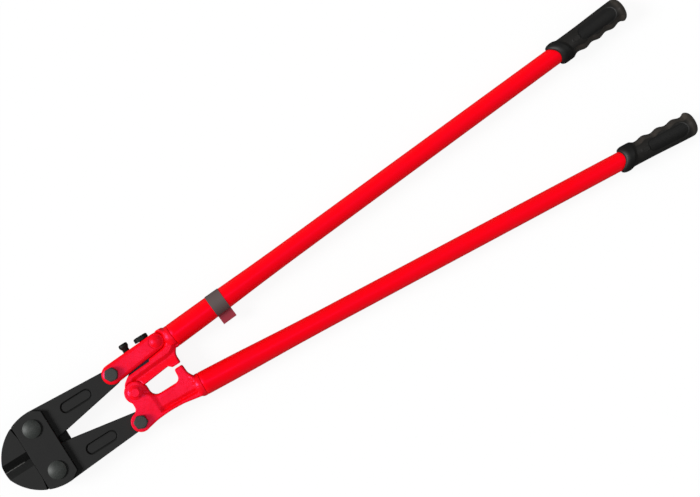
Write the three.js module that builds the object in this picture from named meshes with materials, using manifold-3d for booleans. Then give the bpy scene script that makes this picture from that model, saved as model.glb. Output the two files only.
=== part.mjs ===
// Bolt cutters, 1.2 m long, closed and lying flat.
// Millimetres, +Z up. +X runs from the jaws to the grips, +Y to the upper handle's side.
// The origin is on the centre pivot's axis, in the plane that the tool lies on.
import * as THREE from "three";
import { mergeVertices } from "three/addons/utils/BufferGeometryUtils.js";
import Module from "manifold-3d";

const wasm = await Module();
wasm.setup();

// ---------------------------------------------------------------- driving dimensions
const clearance = 0.3; // between pieces that lie on each other or turn in each other
const openPivotClearance = 3.6; // round each tail bolt, in the hole of the jaw that hangs on it
const fineFacets = 32; // sides of a large round
const coarseFacets = 20; // sides of a small round
const barFacets = 24; // sides of the tubes, the grips and the domes
const cornerStep = THREE.MathUtils.degToRad(20); // of turn in each facet of a rounded corner

// Places in plan. The upper side is given, and the lower side mirrors it.
const jawPivot = new THREE.Vector2(-162.3, 36.9);
const tailPivot = new THREE.Vector2(-16, 43);
const linkPivot = new THREE.Vector2(67.5, 50);
const socketMouth = new THREE.Vector2(94.5, 44);
const handleSplay = THREE.MathUtils.degToRad(4.2);

// Jaws
const jawThickness = 14;
const contactGap = 0.2; // from the centre line to each jaw's contact face
const jawRelief = THREE.MathUtils.degToRad(9.9); // slope of the inner edge behind the heel
const noseCentre = new THREE.Vector2(-156, -18.5);
const noseRadius = 81;
const noseShoulder = 8; // from the nose's centre back to where its round begins
const jawShoulder = new THREE.Vector2(-128, 60.7);
const jawTailTop = 52.6;
const jawTailReach = 10; // of the tail past its bolt, before its corners are rounded
const jawTailRound = 13;
const jawEyeRadius = 15;
const jawEdge = 0.8; // chamfer round the jaws
const edgeLand = 0.6; // thickness of the cutting edge
const bevelWidth = 12; // of each cutting bevel, across the tool
const recessLength = 55;
const recessWidth = 18.6;
const recessDepth = 0.9;
const recessPlace = new THREE.Vector2(-84, 37.5);
const jawOpening = THREE.MathUtils.degToRad(8.5); // of each jaw, from closed

// Side plates and the rivets that the jaws turn on
const plateThickness = 7;
const plateFront = -187.5;
const topPlateRear = -136.6;
const bottomPlateRear = -123;
const plateCorner = 53.3; // from the centre line to the rear corners
const plateShoulder = 6; // from the nose's centre back to where the corner's cut begins
const plateEdge = 0.6;
const jawRivetRadius = 9;
const jawDomeRadius = 14.2;
const jawDomeHeight = 6;

// Forks of the castings and of the link
const cheekThickness = 6.2;
const pivotBossRadius = 17.4;
const tailBossRadius = 16;
const linkEndRadius = 13.5;
const castingEdge = 1.2; // chamfer round the castings and the link
const castingGap = 0.6; // round a boss that turns inside the other casting
const armGap = 1.8; // between the link and the arm beside its front half
const linkEndGap = 0.8; // round the link's rear end
const armShelf = 30.2; // the arm's edge beside the link's front half
const armStep = 44; // where that edge steps up to the link
const grooveWidth = 6;
const grooveDepth = 1.8;
const panelDepth = 2;

// Tail bolts
const tailBoltRadius = 7;
const tailHexFlats = 20;
const tailHeadHeight = 8.8;
const upperHexTurn = THREE.MathUtils.degToRad(28); // of each tail bolt's head when it is tight
const lowerHexTurn = THREE.MathUtils.degToRad(6);
const tailNutHeight = 7.7;

// Centre pivot
const pivotBoltRadius = 6;
const pivotHexFlats = 16.5;
const pivotHeadHeight = 6.5;
const pivotNutFlats = 18;
const pivotNutHeight = 6;
const pivotWasherRadius = 11.6;
const pivotWasherThickness = 1.5;

// Stop lugs of the two castings
const lugFront = 68.8;
const lugRear = 82.2;
const upperLugFace = 2.4;
const lowerLugFace = -1.6;

// Window of the lower casting, beside its boss
const windowFront = 18.6;
const windowTop = 1.8;

// Adjuster
const webFront = 8;
const webRear = 57;
const webThickness = 11;
const webRelief = 1.5; // from the web to the casting's eye
const screwPad = 36; // the casting's edge that the adjusting screw bears on
const tongueTop = 47; // the casting's edge that the locking bolt enters
const screwPlace = 21; // of the adjusting screw, along the tool
const screwRadius = 5.6;
const screwHeadRadius = 7.5;
const screwHeadHeight = 7.6;
const screwHeadLift = 6; // of its head off the link
const lockPlace = 50; // of the locking bolt, along the tool
const lockRadius = 4.6;
const lockHexFlats = 21;
const lockHeadHeight = 7.4;
const lockHeadLift = 0.7; // room for the link's adjustment
const lockDepth = 12; // into the upper casting
const linkRivetRadius = 6.5;
const linkDomeRadius = 9;
const linkDomeHeight = 3.6;

// Sockets and tubes
const collarLength = 6;
const collarTaper = 11;
const armFade = 4; // ahead of the collar, where the corners of an arm run out into its round
const armFadeDepth = 4.5;
const tangLength = 55;
const tubeWall = 2.4;
const tubeLength = 874;
// The tube's outer radius along its length: swaged out over the casting's tang.
const tubeSections = [
  [0, 18.9],
  [60, 18.4],
  [100, 17.6],
  [158, 16.4],
  [216, 15.8],
  [tubeLength, 14.6],
];

// Grips
const gripLength = 135.5;
const gripRadius = 17.9;
const gripEndWall = 5.7;
const collarRadius = 20.8; // the grips' front flange
const flangeLength = 6;
const flangeFade = 9;
const flangeTilt = THREE.MathUtils.degToRad(14);
const endFlare = 1.6;
const flareLength = 80;
const endRound = 9;
const fingerStart = 36.5; // from the grip's mouth
const fingerPitch = 27;
const fingerCount = 3;
const fingerHeight = 1.8;

// Label round the upper tube
const labelPlace = 74; // from the socket's mouth to the label's near edge
const labelWidth = 24;
const labelThickness = 0.5;
const labelFlag = 15; // past the tube's side

// Worked out from the sizes above
const jawHalf = jawThickness / 2;
const plateInner = jawHalf + clearance;
const plateOuter = plateInner + plateThickness;
const cheekInner = jawHalf + clearance;
const cheekOuter = cheekInner + cheekThickness;
const softCorner = castingEdge + 0.4;
const washerTop = cheekOuter + clearance + pivotWasherThickness;
const restHeight = washerTop + clearance + pivotNutHeight;

// ---------------------------------------------------------------- materials
const finish = (color, roughness, metalness) =>
  new THREE.MeshStandardMaterial({ color, roughness, metalness });
const finishes = {
  redPaint: () => finish(0xe3101c, 0.35, 0.1),
  blackSteel: () => finish(0x30302e, 0.55, 0.6),
  darkSteel: () => finish(0x343c38, 0.45, 0.7),
  rubber: () => finish(0x2a2926, 0.8, 0),
  card: () => finish(0x352a28, 0.7, 0),
};

// ---------------------------------------------------------------- building blocks
// A closed geometry as a solid that can be joined and cut.
function solid(geometry) {
  const bare = geometry.index ? geometry.toNonIndexed() : geometry.clone();
  bare.deleteAttribute("normal");
  bare.deleteAttribute("uv");
  const merged = mergeVertices(bare, 1e-3);
  return new wasm.Manifold(
    new wasm.Mesh({
      numProp: 3,
      vertProperties: merged.attributes.position.array,
      triVerts: new Uint32Array(merged.index.array),
    }),
  );
}

const join = (...solids) => solids.reduce((all, next) => all.add(next));
const cut = (from, ...tools) => tools.reduce((left, tool) => left.subtract(tool), from);

// A named mesh of a solid.
function piece(name, body, material) {
  const { vertProperties, triVerts } = body.getMesh();
  const geometry = new THREE.BufferGeometry();
  geometry.setAttribute("position", new THREE.BufferAttribute(vertProperties, 3));
  geometry.setIndex(new THREE.BufferAttribute(triVerts, 1));
  geometry.computeVertexNormals();
  const mesh = new THREE.Mesh(geometry, material);
  mesh.name = name;
  return mesh;
}

// An outline turned about the Z axis: points are [radius, height], going up the outside.
function turned(profile, facets = fineFacets) {
  const points = profile.map(([radius, height]) => new THREE.Vector2(radius, height));
  return new THREE.LatheGeometry(points, facets).rotateX(Math.PI / 2);
}

// A disc or pin along Z from one height to another, over a place in plan.
function disc(place, radius, from, to, facets = fineFacets) {
  const height = to - from;
  const geometry = new THREE.CylinderGeometry(radius, radius, height, facets);
  geometry.rotateX(Math.PI / 2);
  return solid(geometry.translate(place.x, place.y, (from + to) / 2));
}

// A pin or hole along Y from one place across the tool to another.
function crossPin(x, radius, from, to, facets = coarseFacets) {
  const geometry = new THREE.CylinderGeometry(radius, radius, to - from, facets);
  return solid(geometry.translate(x, (from + to) / 2, 0));
}

// An outline raised from one height to another, with its edges chamfered.
function slab(shape, from, to, edge = 0, segments = 8) {
  const geometry = new THREE.ExtrudeGeometry(shape, {
    depth: to - from - 2 * edge,
    bevelEnabled: edge > 0,
    bevelThickness: edge,
    bevelSize: edge,
    bevelOffset: -edge,
    bevelSegments: 1,
    curveSegments: segments,
  });
  return solid(geometry.translate(0, 0, from + edge));
}

// A box from its low corner to its high corner.
function block(low, high) {
  const size = high.map((value, axis) => value - low[axis]);
  const middle = high.map((value, axis) => (value + low[axis]) / 2);
  return solid(new THREE.BoxGeometry(...size).translate(...middle));
}

// Draws on to a corner between two others, and rounds it with short facets.
function roundCorner(path, before, corner, after, radius) {
  const back = before.clone().sub(corner).normalize();
  const ahead = after.clone().sub(corner).normalize();
  const turn = Math.PI - Math.acos(THREE.MathUtils.clamp(back.dot(ahead), -1, 1));
  if (radius <= 0 || turn < cornerStep / 4) return path.lineTo(corner.x, corner.y);
  const start = corner.clone().addScaledVector(back, radius * Math.tan(turn / 2));
  const middle = back.clone().add(ahead).normalize();
  const centre = corner.clone().addScaledVector(middle, radius / Math.cos(turn / 2));
  const steps = Math.max(2, Math.ceil(turn / cornerStep));
  const sense = Math.sign(ahead.cross(back));
  for (let i = 0; i <= steps; i++) {
    const point = start.clone().rotateAround(centre, (sense * turn * i) / steps);
    path.lineTo(point.x, point.y);
  }
  return path;
}

// A closed outline through corners given as [x, y, radius of the corner].
function roundedOutline(corners) {
  const places = corners.map(([x, y]) => new THREE.Vector2(x, y));
  const shape = new THREE.Shape();
  places.forEach((corner, i) => {
    const before = places.at(i - 1);
    const after = places[(i + 1) % places.length];
    roundCorner(shape, before, corner, after, corners[i][2] ?? 0);
  });
  return shape.closePath();
}

// Two rounds of their own radii and the straight edges that touch both.
function strap(a, radiusA, b, radiusB) {
  const along = b.clone().sub(a);
  const heading = along.angle();
  const lean = Math.acos((radiusA - radiusB) / along.length());
  const shape = new THREE.Shape();
  shape.absarc(a.x, a.y, radiusA, heading + lean, heading - lean + 2 * Math.PI, false);
  shape.absarc(b.x, b.y, radiusB, heading - lean, heading + lean, false);
  return shape;
}

// The same outline on the other side of the centre line when side is -1.
function onSide(shape, side, segments = 8) {
  const points = shape.getPoints(segments);
  return new THREE.Shape(points.map(({ x, y }) => new THREE.Vector2(x, side * y)));
}

const placeOn = (place, side) => new THREE.Vector2(place.x, side * place.y);

// A six-sided prism along Z, with its upper corners turned down.
function hexPrism(flats, height) {
  const corner = flats / Math.sqrt(3);
  const prism = solid(
    new THREE.CylinderGeometry(corner, corner, height, 6)
      .rotateX(Math.PI / 2)
      .translate(0, 0, height / 2),
  );
  const drop = (corner - flats / 2) * 0.9;
  const limit = turned([
    [0, -1],
    [corner + 1, -1],
    [corner + 1, height - drop - 0.58],
    [flats / 2 - 0.3, height],
    [0, height],
  ]);
  return prism.intersect(solid(limit));
}

// Half of a dome's outline, from its rim at a height up to its top.
function domeProfile(radius, height, base, steps = 4) {
  const sphere = (radius ** 2 + height ** 2) / (2 * height);
  const sweep = Math.asin(radius / sphere);
  return Array.from({ length: steps + 1 }, (_, i) => {
    const angle = sweep * (1 - i / steps);
    return [sphere * Math.sin(angle), base + height - sphere * (1 - Math.cos(angle))];
  });
}

// A rivet with a dome at each end, gripping what lies within the half thickness.
function domedRivet(radius, domeRadius, domeHeight, halfGrip) {
  const upper = domeProfile(domeRadius, domeHeight, halfGrip);
  upper.at(-1)[0] = 0;
  const lower = upper.map(([r, z]) => [r, -z]).reverse();
  const profile = [...lower, [radius, -halfGrip], [radius, halfGrip], ...upper];
  return solid(turned(profile, barFacets));
}

// ---------------------------------------------------------------- jaws and side plates
const noseAngle = (x) => Math.acos((x - noseCentre.x) / noseRadius);
const noseHeight = (x) => noseCentre.y + noseRadius * Math.sin(noseAngle(x));
const tipX =
  noseCentre.x - Math.sqrt(noseRadius ** 2 - (contactGap - noseCentre.y) ** 2);

// One jaw in plan: contact face, inner edge, tail, outer edge and round nose.
function jawOutline() {
  const tailEnd = tailPivot.x + jawTailReach;
  const heel = new THREE.Vector2(jawPivot.x, contactGap);
  const innerEnd = new THREE.Vector2(
    tailEnd,
    contactGap + (tailEnd - jawPivot.x) * Math.tan(jawRelief),
  );
  const outerEnd = new THREE.Vector2(tailEnd, jawTailTop);
  const roundStart = noseAngle(noseCentre.x + noseShoulder);
  const shape = new THREE.Shape().moveTo(tipX, contactGap).lineTo(heel.x, heel.y);
  roundCorner(shape, heel, innerEnd, outerEnd, jawTailRound);
  roundCorner(shape, innerEnd, outerEnd, jawShoulder, jawTailRound - 1);
  shape.lineTo(jawShoulder.x, jawShoulder.y);
  shape.absarc(
    noseCentre.x,
    noseCentre.y,
    noseRadius,
    roundStart,
    noseAngle(tipX),
    false,
  );
  return shape;
}

// The wedge that leaves a jaw's cutting bevel on its upper face (up is 1) or its lower one.
function bevelCutter(side, up) {
  const overshoot = 5;
  const section = [
    [-overshoot, edgeLand / 2],
    [contactGap, edgeLand / 2],
    [contactGap + bevelWidth, plateOuter],
    [contactGap + bevelWidth, plateOuter + overshoot],
    [-overshoot, plateOuter + overshoot],
  ];
  const shape = new THREE.Shape(section.map(([y, z]) => new THREE.Vector2(side * y, up * z)));
  const length = plateFront - clearance - tipX + overshoot;
  const geometry = new THREE.ExtrudeGeometry(shape, { depth: length, bevelEnabled: false });
  geometry.rotateX(Math.PI / 2).rotateZ(Math.PI / 2);
  return solid(geometry.translate(tipX - overshoot, 0, 0));
}

// The room ahead of the side plates, as a jaw sees it when it has opened by a turn.
function noseRoom(side, turn) {
  const reach = 2 * noseRadius;
  const rear = plateFront - clearance;
  const corners = [[rear - reach, -reach], [rear, -reach], [rear, reach], [rear - reach, reach]];
  const pivot = placeOn(jawPivot, side);
  const places = corners.map(([x, y]) => new THREE.Vector2(x, y).rotateAround(pivot, side * turn));
  return slab(new THREE.Shape(places), -reach, reach);
}

// One jaw. Its thick nose stands clear of the side plates, whether it is closed or open.
function jaw(side) {
  const outline = onSide(jawOutline(), side, 16);
  const nose = slab(outline, -plateOuter, plateOuter, jawEdge)
    .intersect(noseRoom(side, 0))
    .intersect(noseRoom(side, jawOpening));
  const eye = placeOn(tailPivot, side);
  const recess = placeOn(recessPlace, side);
  const halfRun = (recessLength - recessWidth) / 2;
  const recessShape = strap(
    recess.clone().setX(recess.x - halfRun),
    recessWidth / 2,
    recess.clone().setX(recess.x + halfRun),
    recessWidth / 2,
  );
  return cut(
    join(
      slab(outline, -jawHalf, jawHalf, jawEdge),
      nose,
      disc(eye, jawEyeRadius, -jawHalf, jawHalf),
    ),
    disc(placeOn(jawPivot, side), jawRivetRadius + clearance, -jawHalf - 1, jawHalf + 1),
    disc(eye, tailBoltRadius + openPivotClearance, -jawHalf - 1, jawHalf + 1),
    bevelCutter(side, 1),
    bevelCutter(side, -1),
    slab(recessShape, jawHalf - recessDepth, jawHalf + 1),
    slab(recessShape, -jawHalf - 1, -jawHalf + recessDepth),
  );
}

// A side plate: its ends follow the jaws' round, and its rear corners are cut off.
function sidePlate(rear) {
  const front = noseAngle(plateFront);
  const back = noseAngle(noseCentre.x + plateShoulder);
  const shape = new THREE.Shape().moveTo(plateFront, -noseHeight(plateFront));
  shape.absarc(noseCentre.x, -noseCentre.y, noseRadius, -front, -back, false);
  shape.lineTo(topPlateRear, -plateCorner);
  shape.lineTo(rear, -plateCorner + (rear - topPlateRear));
  shape.lineTo(rear, plateCorner - (rear - topPlateRear));
  shape.lineTo(topPlateRear, plateCorner);
  shape.absarc(noseCentre.x, noseCentre.y, noseRadius, back, front, false);
  const holes = [1, -1].map((side) =>
    disc(placeOn(jawPivot, side), jawRivetRadius + clearance, plateInner - 1, plateOuter + 1),
  );
  return cut(slab(shape, plateInner, plateOuter, plateEdge), ...holes);
}

// ---------------------------------------------------------------- handle castings
const origin = new THREE.Vector2(0, 0);

// The tube's outer radius at a distance from the socket's mouth.
function tubeRadius(s) {
  const next = Math.max(1, tubeSections.findIndex(([place]) => place >= s));
  const [from, low] = tubeSections[next - 1];
  const [to, high] = tubeSections[next];
  return THREE.MathUtils.mapLinear(s, from, to, low, high);
}

// A profile turned about the tube's axis, with its zero in the socket's mouth.
function onSocket(profile, side) {
  const geometry = turned(profile, barFacets);
  geometry.rotateY(Math.PI / 2).rotateZ(side * handleSplay);
  return solid(geometry.translate(socketMouth.x, side * socketMouth.y, 0));
}

// The round collar that the tube butts against, and the tang that it is swaged over.
function socket(side) {
  const bore = (s) => tubeRadius(s) - tubeWall - clearance;
  const profile = [
    [0, -collarLength - collarTaper],
    [cheekOuter * 0.8, -collarLength - collarTaper],
    [tubeRadius(0), -collarLength],
    [tubeRadius(0), -clearance],
    [bore(0), -clearance],
    [bore(tangLength), tangLength],
    [0, tangLength],
  ];
  return onSocket(profile, side);
}

// The room that an arm may fill: all of it ahead of the socket, and only the collar's round beside it.
function armRoom(side) {
  const far = 2 * tubeLength;
  const fadeStart = -collarLength - armFade;
  const profile = [
    [0, -far],
    [far, -far],
    [far, fadeStart],
    [tubeRadius(0) + armFadeDepth, fadeStart],
    [tubeRadius(0), -collarLength],
    [tubeRadius(0), 0],
    [0, 0],
  ];
  return onSocket(profile, side);
}

// The same recess in the upper and the lower face of a casting.
function onBothFaces(shape, face, depth) {
  return [slab(shape, face - depth, face + 1), slab(shape, -face - 1, -face + depth)];
}

// The upper casting: a tongue on the centre pivot and in the link, and a thick arm beside it.
function upperCasting() {
  const half = jawHalf;
  const high = cheekOuter + 10;
  const tongue = roundedOutline([
    [-12, 14, 2],
    [screwPlace - 8, screwPad, 5],
    [screwPlace + 8, screwPad, 5],
    [lockPlace - 8, tongueTop, 5],
    [linkPivot.x + 3, tongueTop, 0],
    [linkPivot.x + 3, linkPivot.y + linkEndRadius, 0],
    [linkPivot.x + linkEndRadius + linkEndGap, linkPivot.y + linkEndRadius - 2, 0],
    [lugRear, 12, 0],
    [lugFront, 8, 0],
    [14, 2, 4],
  ]);
  const arm = roundedOutline([
    [-14, 10, softCorner],
    [-7, 19.5, 12],
    [3, armShelf - 3, 8],
    [armStep, armShelf, softCorner],
    [armStep + 1, linkPivot.y, 0],
    [socketMouth.x - 18.5, 64.6, 2.5],
    [socketMouth.x - 8, 64.3, 0],
    [socketMouth.x - 3, 62.6, 0],
    [socketMouth.x - 2, 27, 0],
    [lugRear + 6.8, 26.8, 5.6],
    [lugRear, 17.2, 14],
    [lugRear, upperLugFace, softCorner],
    [lugFront, upperLugFace, softCorner],
    [lugFront - 5, 7.4, 3],
    [24, 3.6, 8],
    [12, 2, softCorner],
  ]);
  const linkRoom = strap(tailPivot, tailBossRadius + armGap, linkPivot, linkEndRadius + linkEndGap);
  const outerSide = block([tailPivot.x - 30, linkPivot.y, -high], [linkPivot.x, 100, high]);
  const bend = new THREE.Vector2(72, 23);
  const grooves = [
    strap(new THREE.Vector2(14, 17.5), grooveWidth / 2, bend, grooveWidth / 2),
    strap(bend, grooveWidth / 2, new THREE.Vector2(88, 40), grooveWidth / 2),
  ];
  const thick = cut(
    join(slab(arm, -cheekOuter, cheekOuter, castingEdge).intersect(armRoom(1)), socket(1)),
    outerSide,
    slab(linkRoom, -high, high, 0, 16),
    disc(origin, pivotBossRadius + castingGap, -high, high),
    ...grooves.flatMap((groove) => onBothFaces(groove, cheekOuter, grooveDepth)),
  );
  return cut(
    join(
      thick,
      slab(tongue, -half, half),
      disc(origin, pivotBossRadius - 0.6, -half, half),
      disc(linkPivot, linkEndRadius, -half, half),
    ),
    disc(origin, pivotBoltRadius + clearance, -high, high),
    disc(linkPivot, linkRivetRadius + clearance, -high, high, coarseFacets),
    crossPin(lockPlace, lockRadius + clearance, tongueTop - lockDepth - clearance, 100),
  );
}

// The lower casting: a fork on the centre pivot and the tail bolt, and a panelled arm.
function lowerCasting() {
  const tail = placeOn(tailPivot, -1);
  const body = roundedOutline([
    [-12.5, 0, 0],
    [-12.8, -22, 6],
    [-24, -34, 0],
    [tail.x, tail.y - tailBossRadius, 0],
    [9, -54, 90],
    [31, -53, 90],
    [53, -54, 90],
    [76, -58.2, 90],
    [socketMouth.x - 3, -61, 0],
    [socketMouth.x - 2, -27, 0],
    [lugRear + 6.8, -26.8, 5.6],
    [lugRear + 0.8, -17.2, 14],
    [lugRear, lowerLugFace, 2.4],
    [lugFront, lowerLugFace, 3],
    [lugFront - 1.2, -21, 9],
    [windowFront, -21, 12],
    [windowFront, windowTop, softCorner],
    [14, windowTop, 0],
  ]);
  const panel = roundedOutline([
    [26, -22.5, 3],
    [21.5, -42.5, 4],
    [60, -45, 20],
    [82, -47.5, 3],
    [84, -27.5, 4],
    [66, -24.5, 4],
  ]);
  const high = cheekOuter + 1;
  const slotHalf = cheekInner;
  return cut(
    join(
      slab(body, -cheekOuter, cheekOuter, castingEdge).intersect(armRoom(-1)),
      disc(origin, pivotBossRadius, -cheekOuter, cheekOuter),
      disc(tail, tailBossRadius, -cheekOuter, cheekOuter),
      socket(-1),
    ),
    disc(origin, pivotBossRadius + castingGap, -slotHalf, slotHalf),
    disc(tail, jawEyeRadius + openPivotClearance + castingGap, -slotHalf, slotHalf),
    block([tail.x - 60, tail.y - 60, -slotHalf], [tail.x + 3, 30, slotHalf]),
    disc(origin, pivotBoltRadius + clearance, -high, high),
    disc(tail, tailBoltRadius + clearance, -high, high),
    ...onBothFaces(panel, cheekOuter, panelDepth),
  );
}

// The link's outer edge at a place along the tool.
function linkEdge(x) {
  const front = tailPivot.y + tailBossRadius;
  const rear = linkPivot.y + linkEndRadius;
  return THREE.MathUtils.mapLinear(x, tailPivot.x, linkPivot.x, front, rear);
}

// The adjuster link: two cheeks over the casting's tongue and the jaw, joined by a web.
function link() {
  const cheeks = strap(tailPivot, tailBossRadius, linkPivot, linkEndRadius);
  const half = cheekInner;
  const high = cheekOuter + 1;
  const far = 100;
  const web = cut(
    block([webFront, linkEdge(webFront) - webThickness, -high], [webRear, far, high]),
    disc(linkPivot, linkEndRadius + webRelief, -2 * high, 2 * high),
  );
  return cut(
    slab(cheeks, -cheekOuter, cheekOuter, castingEdge, 16),
    cut(block([-far, -far, -half], [2 * far, far, half]), web),
    disc(tailPivot, tailBoltRadius + clearance, -high, high),
    disc(linkPivot, linkRivetRadius + clearance, -high, high, coarseFacets),
    crossPin(screwPlace, screwRadius + clearance, 0, far),
    crossPin(lockPlace, lockRadius + 2 * clearance, 0, far),
  );
}

// ---------------------------------------------------------------- fasteners
// A hexagon bolt: its head stands on Z = 0, and its shank hangs below.
function hexBolt(radius, flats, headHeight, length) {
  return join(hexPrism(flats, headHeight), disc(origin, radius, -length, 1, coarseFacets));
}

// A hexagon nut that stands on Z = 0.
function hexNut(radius, flats, height) {
  return cut(hexPrism(flats, height), disc(origin, radius + clearance, -1, height + 1, coarseFacets));
}

function washer() {
  const thickness = pivotWasherThickness;
  const hole = disc(origin, pivotBoltRadius + clearance, -1, thickness + 1, coarseFacets);
  return cut(disc(origin, pivotWasherRadius, 0, thickness, coarseFacets), hole);
}

// The adjusting screw, along Y: its tip bears on the casting's pad, and its round head is free.
function adjustingScrew() {
  const tip = screwPad + clearance;
  const seat = linkEdge(screwPlace) + screwHeadLift;
  const head = seat + screwHeadHeight;
  const profile = [
    [0, tip],
    [screwRadius, tip],
    [screwRadius, seat],
    [screwHeadRadius - 0.8, seat],
    [screwHeadRadius, seat + 0.8],
    [screwHeadRadius, head - 1.2],
    [screwHeadRadius - 1.2, head],
    [0, head],
  ];
  const points = profile.map(([radius, place]) => new THREE.Vector2(radius, place));
  return solid(new THREE.LatheGeometry(points, coarseFacets).translate(screwPlace, 0, 0));
}

// ---------------------------------------------------------------- tubes, grips and label
// A tube along +X from the socket's mouth.
function tube() {
  const skin = tubeSections.map(([s, radius]) => [radius, s]);
  const bore = tubeSections.map(([s, radius]) => [radius - tubeWall, s]).reverse();
  return solid(turned([...skin, ...bore, skin[0]], barFacets).rotateY(Math.PI / 2));
}

// A smooth fall from 1 to 0 as a place passes from the near edge to the far one.
const fade = (place, near, far) => 1 - THREE.MathUtils.smoothstep(place, near, far);

// The grip's outer radius along its length, before its finger ridges.
function gripSkin(s) {
  const flange = fade(s, flangeLength, flangeLength + flangeFade) * (collarRadius - gripRadius);
  const flare = (1 - fade(s, gripLength - flareLength, gripLength - endRound)) * endFlare;
  const left = Math.max(0, endRound - (gripLength - s));
  const round = endRound - Math.sqrt(endRound ** 2 - left ** 2);
  return gripRadius + flange + flare - round;
}

// How far the finger ridges stand out on the inner side.
function fingerRidge(s) {
  const run = (s - fingerStart) / fingerPitch;
  if (run <= 0 || run >= fingerCount) return 0;
  return (fingerHeight * (1 - Math.cos(2 * Math.PI * run))) / 2;
}

// A grip along +X from its mouth, with its finger ridges towards the centre line.
function grip(side) {
  const rings = 32;
  const depth = gripLength - gripEndWall;
  const bore = tubeRadius(tubeLength) + clearance;
  const mouth = tubeRadius(tubeLength - depth) + clearance;
  const places = Array.from({ length: rings + 1 }, (_, i) => (gripLength * i) / rings);
  const profile = [
    [0, depth],
    [bore, depth],
    [mouth, 0],
    ...places.map((s) => [gripSkin(s), s]),
    [0, gripLength],
  ];
  const geometry = turned(profile, barFacets).rotateY(Math.PI / 2);
  const position = geometry.getAttribute("position");
  const tiltFade = 2 * (flangeLength + flangeFade);
  for (let i = 0; i < position.count; i++) {
    const [x, y, z] = [position.getX(i), position.getY(i), position.getZ(i)];
    const radius = Math.hypot(y, z);
    const inward = radius > mouth + 0.5 ? Math.max(0, (-side * y) / radius) : 0;
    const grow = 1 + (fingerRidge(x) * inward ** 2) / Math.max(radius, 1);
    const tilt = Math.tan(flangeTilt) * fade(x, 0, tiltFade) * -side * y;
    position.setXYZ(i, x + tilt, y * grow, z * grow);
  }
  return solid(geometry);
}

// The label: a band round the tube, its two ends joined in a flag on the inner side.
function label() {
  const inner = (s) => tubeRadius(s) + clearance;
  const far = labelPlace + labelWidth;
  const band = [
    [inner(labelPlace) + labelThickness, labelPlace],
    [inner(far) + labelThickness, far],
    [inner(far), far],
    [inner(labelPlace), labelPlace],
  ];
  const ring = solid(turned([...band, band[0]], barFacets).rotateY(Math.PI / 2));
  const root = inner(far) + labelThickness / 2;
  const flag = block(
    [labelPlace, -root - labelFlag, -labelThickness],
    [far, -root, labelThickness],
  );
  const bore = turned([
    [0, labelPlace - 1],
    [inner(labelPlace), labelPlace],
    [inner(far), far],
    [0, far + 1],
  ], barFacets).rotateY(Math.PI / 2);
  return join(ring, cut(flag, solid(bore)));
}

// ---------------------------------------------------------------- assembly
const tool = new THREE.Group();
tool.name = "bolt_cutters";
tool.position.z = restHeight;

// Stands a mesh at a place in plan and a height, turned over when it hangs from there.
function stand(mesh, place, height, hanging = false) {
  mesh.position.set(place.x, place.y, height);
  if (hanging) mesh.rotation.x = Math.PI;
  tool.add(mesh);
}

tool.add(piece("top_side_plate", sidePlate(topPlateRear), finishes.blackSteel()));
const underPlate = piece("bottom_side_plate", sidePlate(bottomPlateRear), finishes.blackSteel());
stand(underPlate, origin, 0, true);

for (const [name, side, hexTurn] of [["upper", 1, upperHexTurn], ["lower", -1, lowerHexTurn]]) {
  const rivet = domedRivet(
    jawRivetRadius,
    jawDomeRadius,
    jawDomeHeight,
    plateOuter + clearance,
  );
  tool.add(piece(`${name}_jaw`, jaw(side), finishes.blackSteel()));
  stand(piece(`${name}_jaw_rivet`, rivet, finishes.darkSteel()), placeOn(jawPivot, side), 0);

  const tail = placeOn(tailPivot, side);
  const boltSeat = cheekOuter + clearance;
  const boltLength = 2 * boltSeat + tailNutHeight;
  const bolt = hexBolt(tailBoltRadius, tailHexFlats, tailHeadHeight, boltLength);
  const nut = hexNut(tailBoltRadius, tailHexFlats, tailNutHeight);
  const tailBolt = piece(`${name}_tail_bolt`, bolt, finishes.darkSteel());
  tailBolt.rotation.z = hexTurn;
  stand(tailBolt, tail, boltSeat);
  stand(piece(`${name}_tail_nut`, nut, finishes.darkSteel()), tail, -boltSeat, true);

  const handle = new THREE.Group();
  handle.position.set(socketMouth.x, side * socketMouth.y, 0);
  handle.rotation.z = side * handleSplay;
  const sleeve = piece(`${name}_grip`, grip(side), finishes.rubber());
  sleeve.position.x = tubeLength + clearance + gripEndWall - gripLength;
  handle.add(piece(`${name}_tube`, tube(), finishes.redPaint()), sleeve);
  if (side > 0) handle.add(piece("label_band", label(), finishes.card()));
  tool.add(handle);
}

tool.add(piece("upper_casting", upperCasting(), finishes.redPaint()));
tool.add(piece("lower_casting", lowerCasting(), finishes.redPaint()));
tool.add(piece("adjuster_link", link(), finishes.redPaint()));
const linkRivet = domedRivet(
  linkRivetRadius,
  linkDomeRadius,
  linkDomeHeight,
  cheekOuter + clearance,
);
stand(piece("link_rivet", linkRivet, finishes.redPaint()), linkPivot, 0);
tool.add(piece("adjusting_screw", adjustingScrew(), finishes.darkSteel()));

const lockSeat = linkEdge(lockPlace) + lockHeadLift;
const lockLength = lockSeat - (tongueTop - lockDepth);
const lockBolt = hexBolt(lockRadius, lockHexFlats, lockHeadHeight, lockLength);
const lock = piece("locking_bolt", lockBolt, finishes.darkSteel());
lock.position.set(lockPlace, lockSeat, 0);
lock.rotation.x = -Math.PI / 2;
tool.add(lock);

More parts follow.
